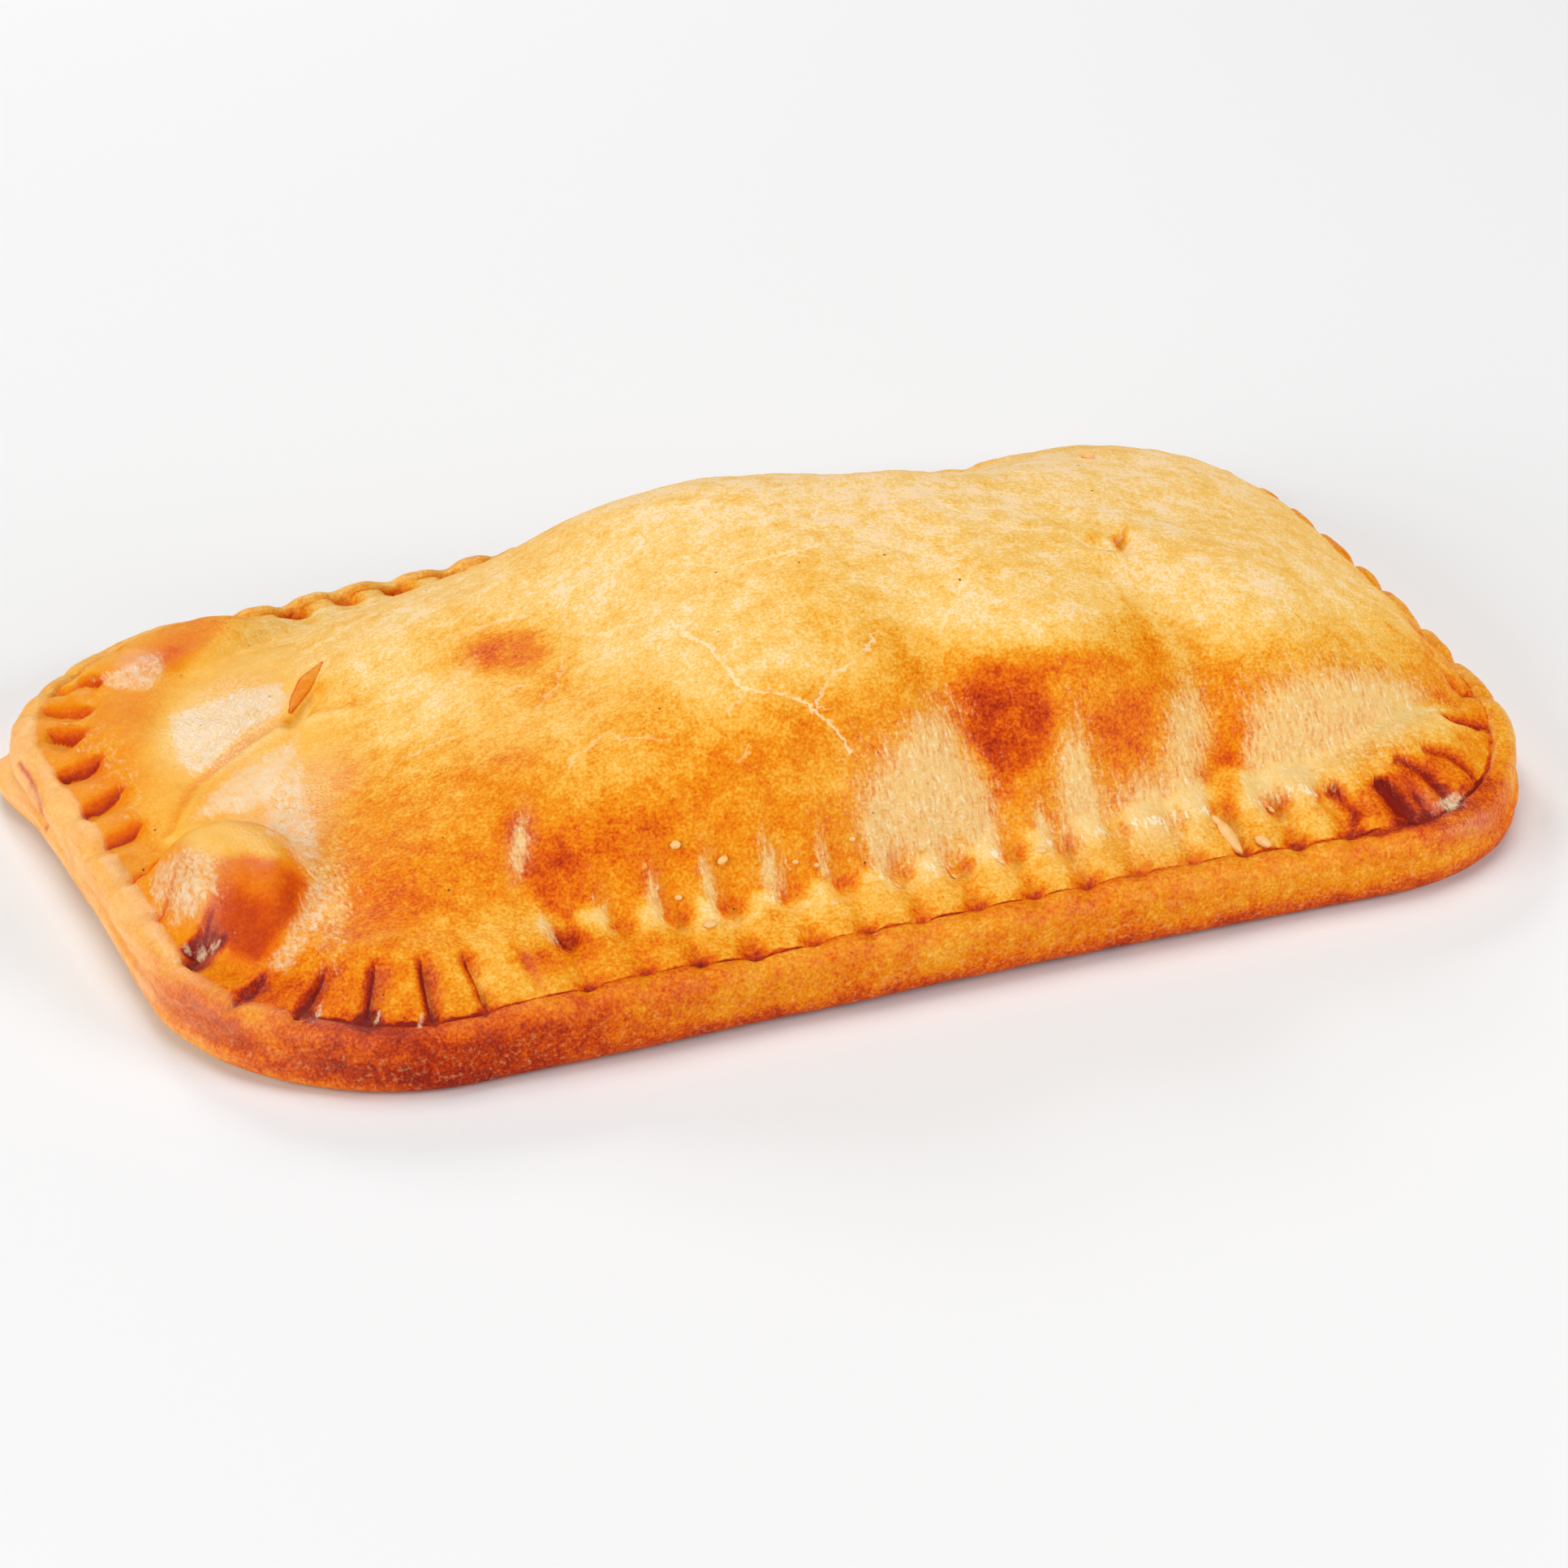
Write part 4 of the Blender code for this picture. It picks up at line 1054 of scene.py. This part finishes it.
for name, values in {
    "browning": browning,
    "mottling": 1.0 - even_baked,
    "pale_dough": pale_dough,
    "darkening": darkening,
    "film_and_sheen": film_and_sheen,
    "film_foot_glints": film_foot_glints,
    "gloss": gloss,
    "painted_highlight": painted_highlight,
    "wall": wall,
    "inset": np.where(on_top | (level > 0.5), inset, 0.0),
    "juice_line": juice_line,
    "slot_place": slot_place,
    "slot_dark": slot_dark * in_slot,
    "slot_floor_juice_and_sheen": slot_floor_juice_and_sheen * in_slot,
    "slit_inside": slit_inside,
    "fold_line": fold_line,
    "crack_side": crack_side,
    "crack_near": crack_near,
}.items():
    give(name, values)
print("film on", int((film_and_sheen > 0.3).sum()), "vertices, gloss on", int((gloss > 0.5).sum()))

# %% [markdown]
# ## The baked finish
#
# In a material, values flow from node to node. The small class here lets them add and multiply like numbers,
# so that a formula for a colour reads as one.

# %% Values in a material
# Each cloud noise of the materials: its size in millimetres, or its sizes along x, y and z, its detail, and
# for the brush strokes also their roughness and distortion.
NOISES = {
    "strokes": ((0.38, 1.3, 1.3), 3.0, 0.5, 0.6),
    "layers": ((7.0, 7.0, 0.9), 3.0),
    "fine": (0.4, 3.0),
    "specks": (0.6, 2.0),
    "glints": (0.55, 2.0),
    "wrinkles": (1.1, 4.0),
    "painted_highlight": (3.4, 3.0),
    "crack_wander": (0.8, 3.0),
    "crack_patches": (3.0, 2.0),
    "pressed_wander": (2.0, 2.0),
    "pressed_gaps": (4.0, 2.0),
    "egg": (0.7, 2.0),
}
CLOUD_ROUGHNESS = 0.55


class Signal:
    """A value that flows through a material's nodes, and adds and multiplies like a number."""

    def __init__(self, socket):
        self.socket = socket

    def calculated(self, operation, other=0.0):
        return add_node(self.socket.id_data, "Math", "Value", {0: self, 1: other}, operation=operation)

    def __add__(self, other):
        return self.calculated("ADD", other)

    def __sub__(self, other):
        return self.calculated("SUBTRACT", other)

    def __mul__(self, other):
        return self.calculated("MULTIPLY", other)

    def __abs__(self):
        return self.calculated("ABSOLUTE")

    def or_more(self, other):
        """The larger of this value and another."""
        return self.calculated("MAXIMUM", other)

    def ramp(self, low, high, least=0.0, most=1.0):
        """Least below low and most above high, smooth between."""
        inputs = {"Value": self, "From Min": low, "From Max": high, "To Min": least, "To Max": most}
        return add_node(self.socket.id_data, "MapRange", "Result", inputs, interpolation_type="SMOOTHSTEP")

    def within(self, rise, fall):
        """1 between a rising and a falling ramp."""
        return self.ramp(*rise) * self.ramp(*fall)

    def mix(self, first, second):
        """A colour between two: the first where this value is 0, the second where it is 1."""
        inputs = {"Factor": self, "A": first, "B": second}
        return add_node(self.socket.id_data, "Mix", "Result", inputs, data_type="RGBA")


def feed(socket, value):
    """Links a signal to a socket, or gives the socket a plain number or colour."""
    if isinstance(value, Signal):
        socket.id_data.links.new(value.socket, socket)
    else:
        socket.default_value = value


def add_node(tree, kind, output, inputs=None, **settings):
    """One output of a new node with these settings and inputs."""
    node = tree.nodes.new("ShaderNode" + kind)
    for name, value in settings.items():
        setattr(node, name, value)
    for name, value in (inputs or {}).items():
        feed(node.inputs[name], value)
    return Signal(node.outputs[output])


def attribute(tree, name):
    """The number that the mesh stores under this name."""
    return add_node(tree, "Attribute", "Fac", attribute_name=name)


def cloud_node(tree, size, detail, roughness=CLOUD_ROUGHNESS, distortion=0.0):
    """Cloud noise of a size in millimetres. Three sizes, one for each axis, draw it out into streaks."""
    place = add_node(tree, "TexCoord", "Object")
    if isinstance(size, tuple):
        stretch = [1 / (MM * length) for length in size]
        place = add_node(tree, "Mapping", "Vector", {"Vector": place, "Scale": stretch})
        size = 1 / MM
    inputs = {"Vector": place, "Scale": 1 / (MM * size), "Detail": detail}
    return add_node(tree, "TexNoise", "Fac", {**inputs, "Roughness": roughness, "Distortion": distortion})


def noise_in(tree, name):
    """One of the named cloud noises."""
    return cloud_node(tree, *NOISES[name])


def new_material(name, inputs_in):
    """A material whose shader takes the inputs that a function makes in the material's tree."""
    material = bpy.data.materials.new(name)
    material.use_nodes = True
    for socket, value in inputs_in(material.node_tree).items():
        feed(material.node_tree.nodes["Principled BSDF"].inputs[socket], value)
    return material


print("cloud noises:", ", ".join(NOISES))

# %% [markdown]
# One colour band runs from pale dough to burnt juice. The browning number moves along it, and cloud noise
# moves it a little further, so that no place has one flat colour. Baked juice moves it further still, and it
# is placed by how far a point is from a pressed line, from the knife slit's edge or from the deepest line of
# a slot. Painted shade moves it too, over a slot's nose and in the hollows at the dome's foot.

# %% Baked colour and juice
BAKED_COLOURS = [
    (0.00, (0.97, 0.70, 0.42, 1)),
    (0.06, (0.95, 0.64, 0.24, 1)),
    (0.15, (0.93, 0.56, 0.14, 1)),
    (0.30, (0.89, 0.43, 0.045, 1)),
    (0.45, (0.83, 0.275, 0.004, 1)),
    (0.60, (0.76, 0.15, 0.002, 1)),
    (0.72, (0.62, 0.072, 0.002, 1)),
    (0.86, (0.42, 0.030, 0.003, 1)),
    (1.00, (0.24, 0.012, 0.005, 1)),
]
# Size of the clouds in millimetres, their detail, and how far they move the browning number.
MOTTLES = ((9.0, 2.0, 0.30), (2.8, 3.0, 0.42), (0.9, 2.0, 0.32), (0.35, 1.0, 0.46))
# How much browner the crust gets: from the stored darkening (juice, and painted shade in the hollows), along
# and in the knife slit, from painted shade over a slot's nose, and from juice in its deepest line and on its
# floor.
DARKENING_BROWN = 0.6
SLIT_EDGE_BROWN = 0.28
SLIT_BROWN = 0.28
SLIT_RAMP = (-0.05, 0.08)
SLIT_EDGE_RAMP = (0.16, 0.02)
NOSE_SHADE = 0.34
LINE_BROWN = 0.20
FLOOR_BROWN = 0.5
LEAST_FLOOR_STAIN = 0.25
# In the pressed line: the least and the most that it browns, and its place and wandering in millimetres.
PRESSED_BROWN = (0.24, 0.54)
PRESSED_PLACE = BEAD_WIDTH + 0.45
PRESSED_WANDER = 0.8
PRESSED_EDGE = (0.34, 0.10)
PRESSED_GAPS = (0.30, 0.62)
# Across a slot, -1 is the nose's foot, 0 the deepest line and 1 the floor's end. Each shade has a rise and
# a fall there.
NOSE_SPAN = ((-1.1, 0.0), (0.10, 0.0))
LINE_SPAN = ((-0.30, -0.02), (0.14, 0.04))
FLOOR_SPAN = ((0.0, 0.08), (0.9, 0.3))


def baked_colour(tree, browning, mottling):
    """Colour of baked dough for a browning number."""
    for size, detail, share in MOTTLES:
        browning = browning + (cloud_node(tree, size, detail) - 0.5) * (mottling * share)
    colour = add_node(tree, "ValToRGB", "Color", {"Fac": browning})
    stops = colour.socket.node.color_ramp.elements
    while len(stops) < len(BAKED_COLOURS):
        stops.new(0.5)
    for stop, (stop_place, stop_colour) in zip(stops, BAKED_COLOURS):
        stop.position = stop_place
        stop.color = stop_colour
    return colour


def pressed_line(tree):
    """Juice in the pressed line beside the bead, thin and broken up."""
    wander = (noise_in(tree, "pressed_wander") - 0.5) * PRESSED_WANDER
    line = abs(attribute(tree, "inset") - PRESSED_PLACE + wander).ramp(*PRESSED_EDGE)
    broken_up = noise_in(tree, "pressed_gaps").ramp(*PRESSED_GAPS, *PRESSED_BROWN)
    return line * broken_up * attribute(tree, "juice_line")


def slit_juice(tree):
    """Juice in the knife slit, most along its edges."""
    inside = attribute(tree, "slit_inside")
    return inside.ramp(*SLIT_RAMP) * SLIT_BROWN + abs(inside).ramp(*SLIT_EDGE_RAMP) * SLIT_EDGE_BROWN


def slot_juice_and_shade(tree):
    """Painted shade over a slot's nose, and juice in a thin line at its foot and on a stained floor."""
    across = attribute(tree, "slot_place")
    in_line = across.within(*NOSE_SPAN) * NOSE_SHADE + across.within(*LINE_SPAN) * LINE_BROWN
    on_floor = across.within(*FLOOR_SPAN) * (attribute(tree, "slot_floor_juice_and_sheen") - LEAST_FLOOR_STAIN)
    return (in_line * attribute(tree, "slot_dark")).or_more(on_floor * FLOOR_BROWN)


def juice_and_shade(tree):
    """The strongest of all juices and painted shades at each place."""
    juice = attribute(tree, "fold_line").or_more(attribute(tree, "darkening") * DARKENING_BROWN)
    for kind in (pressed_line, slot_juice_and_shade, slit_juice):
        juice = juice.or_more(kind(tree))
    return juice


print("baked colours:", len(BAKED_COLOURS), "with", len(MOTTLES), "sizes of clouds")

# %% [markdown]
# Over the baked colour lie thin layers, one after another, from the streaks of cut dough to a few dark
# grains. Some are painted light: the dry film's sheen, the glints, the film's bright tips, the highlight at
# the left end and the sheen on the slot floors. Each has a signal, mostly a sum of noises and of numbers that
# the mesh stores. A ramp turns it into the layer's share, and a second value says where the layer may lie.

# %% Crust material
# For each layer, from the lowest to the top one: where its ramp begins and ends, its least and its greatest
# share, and its colour.
LAYERS = {
    "cut_dough": (0.25, 0.75, 0.25, 0.95, (0.99, 0.62, 0.34, 1)),
    "specks": (0.54, 0.70, 0.0, 0.22, (0.90, 0.56, 0.24, 1)),
    # Dry film, whose pale colour also paints the sheen of the light in front on the right.
    "dry_film_with_sheen": (1.75, 3.0, 0.0, 0.95, (0.94, 0.64, 0.25, 1)),
    # Painted glints in the film.
    "glints": (1.12, 1.30, 0.0, 0.55, (0.99, 0.88, 0.66, 1)),
    # Painted glints at the film's lower tips.
    "film_tip_glints": (2.15, 2.45, 0.0, 0.75, (0.99, 0.88, 0.66, 1)),
    # Painted highlight at the left end, in pale colour.
    "painted_highlight": (1.95, 2.85, 0.0, 1.0, (0.87, 0.65, 0.40, 1)),
    # Slot floors: the red of juice, which also paints the sheen of the light behind.
    "slot_floor_juice_and_sheen": (0.35, 0.7, 0.0, 0.35, (0.66, 0.22, 0.10, 1)),
    "torn_edge": (0.32, 0.08, 0.0, 0.8, (0.97, 0.77, 0.46, 1)),
    "grains": (0.060, 0.035, 0.0, 1.0, (0.20, 0.06, 0.01, 1)),
}
# How much strokes and the mesh's numbers weigh in the signals.
STROKES_IN_FILM = 1.9
STROKES_IN_HIGHLIGHT = 1.3
FILM_WEIGHT = 1.25
HIGHLIGHT_WEIGHT = 1.1
HIGHLIGHT_CLOUDS = (0.36, 0.62, 0.66, 0.96)
FLOOR_STROKES = (0.25, 0.75)
CRACK_PATCHES = (0.34, 0.56)
CHOSEN_CELLS = (0.62, 0.66)
FLOOR_SHEEN_SPAN = ((0.03, 0.16), (0.95, 0.5))
CRACK_WANDER = 1.7
GRAIN_SPACING = 3.2
BUMP_HEIGHT = 0.0003
FILM_BUMP = 0.6
COAT_BUMP = 0.55
WRINKLES_WITHOUT_GLOSS = 0.5
CRUST_ROUGHNESS = 0.55
CRUST_SHEEN = 0.06
GLOSS_ROUGHNESS = 0.13


def bumpy(tree, height, strength):
    """The surface's direction when a signal gives it small bumps."""
    return add_node(tree, "Bump", "Normal", {"Height": height, "Distance": BUMP_HEIGHT, "Strength": strength})


def crust_inputs(tree):
    """Egg-washed shortcrust."""
    gloss = attribute(tree, "gloss")
    film_and_sheen = attribute(tree, "film_and_sheen")
    strokes = noise_in(tree, "strokes")
    fine = noise_in(tree, "fine")
    ragged = strokes * STROKES_IN_FILM + fine
    wrinkles = noise_in(tree, "wrinkles") + strokes * STROKES_IN_HIGHLIGHT + fine
    highlight_clouds = noise_in(tree, "painted_highlight").ramp(*HIGHLIGHT_CLOUDS)
    # Where a slot floor's painted sheen may lie.
    floor_sheen_place = attribute(tree, "slot_place").within(*FLOOR_SHEEN_SPAN)
    crack_wander = (noise_in(tree, "crack_wander") - 0.5) * CRACK_WANDER
    off_crack = abs(attribute(tree, "crack_side") + crack_wander)
    crack_patches = noise_in(tree, "crack_patches").ramp(*CRACK_PATCHES)
    cells = {"Vector": add_node(tree, "TexCoord", "Object"), "Scale": 1 / (MM * GRAIN_SPACING)}
    chosen_cells = add_node(tree, "TexVoronoi", "Color", cells).ramp(*CHOSEN_CELLS)

    # The signal of each layer and where it may lie.
    signals = {
        "cut_dough": (noise_in(tree, "layers"), attribute(tree, "pale_dough")),
        "specks": (noise_in(tree, "specks"), attribute(tree, "wall")),
        "dry_film_with_sheen": (film_and_sheen * FILM_WEIGHT + ragged, 1.0),
        "glints": (noise_in(tree, "glints") + strokes, film_and_sheen),
        "film_tip_glints": (ragged + attribute(tree, "film_foot_glints"), 1.0),
        "painted_highlight": (attribute(tree, "painted_highlight") * HIGHLIGHT_WEIGHT + wrinkles, highlight_clouds),
        "slot_floor_juice_and_sheen": (attribute(tree, "slot_floor_juice_and_sheen"), floor_sheen_place * strokes.ramp(*FLOOR_STROKES)),
        "torn_edge": (off_crack, crack_patches * attribute(tree, "crack_near")),
        "grains": (add_node(tree, "TexVoronoi", "Distance", cells), chosen_cells),
    }
    colour = baked_colour(tree, attribute(tree, "browning") + juice_and_shade(tree), attribute(tree, "mottling"))
    for name, (*ramp, layer_colour) in LAYERS.items():
        signal, where = signals[name]
        colour = (signal.ramp(*ramp) * where).mix(colour, layer_colour)
    return {
        "Base Color": colour,
        "Roughness": CRUST_ROUGHNESS,
        "Specular IOR Level": CRUST_SHEEN,
        "Normal": bumpy(tree, ragged * film_and_sheen + fine * (gloss + WRINKLES_WITHOUT_GLOSS), FILM_BUMP),
        "Coat Weight": gloss,
        "Coat Roughness": GLOSS_ROUGHNESS,
        "Coat Normal": bumpy(tree, strokes + fine, COAT_BUMP),
    }


crust.data.materials.clear()
crust.data.materials.append(new_material("egg_washed_crust", crust_inputs))
print("layers over the baked colour:", ", ".join(LAYERS))

# %% [markdown]
# ## Flakes and bubbles
#
# A few flakes of crust stick to the near side, and drops of egg have dried as little blisters at the foot of
# the dome. All are one rounded lump, made once, dented by cloud noise, copied, squashed and pressed into the
# crust.

# %% Flakes and bubbles
# Place in the picture, length, width and height in millimetres, and turn in degrees.
FLAKES = [
    (1514, 1032, 4.8, 1.9, 1.2, -52),
    (1500, 1014, 2.2, 1.2, 0.8, -30),
    (1556, 1037, 2.0, 1.1, 0.7, -30),
    (1340, 562, 1.8, 1.2, 1.0, 20),
    (832, 1041, 1.1, 0.9, 0.4, 0),
    (890, 1060, 1.2, 0.8, 0.5, 30),
    (875, 1139, 1.4, 0.9, 0.4, 20),
    (836, 1106, 0.8, 0.6, 0.4, 0),
    (1028, 1112, 1.0, 0.8, 0.4, 0),
    (1050, 1034, 0.7, 0.5, 0.3, 0),
    (1105, 1092, 0.9, 0.6, 0.4, 0),
    (1175, 1080, 0.8, 0.6, 0.4, 0),
    (1234, 1062, 0.9, 0.6, 0.4, 0),
    (1282, 1048, 1.3, 0.9, 0.5, 0),
    (980, 1062, 0.7, 0.5, 0.3, 0),
    (1006, 1066, 0.6, 0.5, 0.3, 0),
    (660, 1196, 0.9, 0.7, 0.4, 0),
    (1424, 1024, 1.0, 0.7, 0.4, 0),
    (1566, 998, 0.9, 0.7, 0.4, 0),
]
SUNK_SHARE = 0.15
DENT_SHARE = 0.16
EGG_COLOURS = ((0.84, 0.42, 0.10, 1), (0.93, 0.62, 0.26, 1))

bpy.ops.object.select_all(action="DESELECT")
bpy.ops.mesh.primitive_ico_sphere_add(subdivisions=3, radius=0.5)
lump = bpy.context.object
shape = read_vertices(lump.data)
shape *= (1 + DENT_SHARE * clouds(shape, 0.45, 3.0))[:, None]
lump.data.vertices.foreach_set("co", shape.ravel())

pieces = []
for across, down, length, wide, high, turn in FLAKES:
    place, normal = crust_tree.ray_cast(CAMERA_PLACE, sight(across, down))[:2]
    sideways = (CAMERA_RIGHT - normal * CAMERA_RIGHT.dot(normal)).normalized()
    stand = Matrix((sideways, normal.cross(sideways), normal)).transposed().to_4x4()
    piece = lump.copy()
    piece.data = lump.data.copy()
    bpy.context.scene.collection.objects.link(piece)
    there = Matrix.Translation((place + normal * high * SUNK_SHARE) * MM)
    size = Matrix.Diagonal((length * MM, wide * MM, high * MM, 1.0))
    piece.matrix_world = there @ stand @ Matrix.Rotation(math.radians(turn), 4, "Z") @ size
    pieces.append(piece)
bpy.data.objects.remove(lump)
bpy.ops.object.select_all(action="DESELECT")
for piece in pieces:
    piece.select_set(True)
flakes = pieces[0]
bpy.context.view_layer.objects.active = flakes
bpy.ops.object.join()
bpy.ops.object.transform_apply(location=True, rotation=True, scale=True)
bpy.ops.object.shade_smooth()
flakes.name = "flakes"


def egg_inputs(tree):
    """Dried egg, lighter in spots."""
    return {"Base Color": noise_in(tree, "egg").mix(*EGG_COLOURS), "Roughness": 0.5}


flakes.data.materials.clear()
flakes.data.materials.append(new_material("dried_egg", egg_inputs))
print("flakes and bubbles:", len(FLAKES), "with", len(flakes.data.polygons), "faces")

# %% [markdown]
# ## Floor and light
#
# The picture has a white studio ground. The main light is a large soft box low behind the pasty, which puts
# the white gloss on the left end, where a painted highlight adds to it, and a second one to the right in front
# gives the sheen on the near face, which the dry film's colour also paints.

# %% Studio
FLOOR_SIZE = 6.0
PAPER_INPUTS = {"Base Color": (0.86, 0.86, 0.86, 1), "Roughness": 0.9}
LAMP_AIM = Vector((0, 0, 0.015))
# Azimuth and height in degrees, distance and size in metres, and strength in watts.
SOFT_BOXES = {
    "behind": (86, 30, 0.80, 0.20, 2.0),
    "front_right": (-46, 25, 0.80, 0.34, 3.3),
    "left": (196, 22, 0.85, 0.50, 4.7),
    "above": (60, 86, 1.20, 0.90, 6.8),
}

bpy.ops.object.select_all(action="DESELECT")
bpy.ops.mesh.primitive_plane_add(size=FLOOR_SIZE)
floor = bpy.context.object
floor.name = "floor"
floor.data.materials.append(new_material("white_paper", lambda tree: PAPER_INPUTS))

for name, (azimuth, high, away, size, power) in SOFT_BOXES.items():
    lamp = bpy.data.lights.new(name, "AREA")
    lamp.size = size
    lamp.energy = power
    box = bpy.data.objects.new(name, lamp)
    bpy.context.scene.collection.objects.link(box)
    turn, rise = math.radians(azimuth), math.radians(high)
    flat = math.cos(rise)
    box.location = Vector((math.cos(turn) * flat, math.sin(turn) * flat, math.sin(rise))) * away
    box.rotation_euler = (LAMP_AIM - box.location).to_track_quat("-Z", "Y").to_euler()

world = bpy.data.worlds.new("studio")
world.use_nodes = True
world.node_tree.nodes["Background"].inputs["Color"].default_value = (1, 1, 1, 1)
world.node_tree.nodes["Background"].inputs["Strength"].default_value = 0.08
bpy.context.scene.world = world
bpy.context.scene.view_settings.view_transform = "Standard"
print("soft boxes:", ", ".join(SOFT_BOXES))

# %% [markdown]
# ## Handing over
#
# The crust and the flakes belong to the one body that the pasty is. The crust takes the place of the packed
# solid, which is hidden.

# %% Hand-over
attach(crust, "root")
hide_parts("crust")
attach(flakes, "root")
bpy.ops.object.select_all(action="DESELECT")
crust.select_set(True)
bpy.context.view_layer.objects.active = crust
bpy.ops.object.shade_smooth()
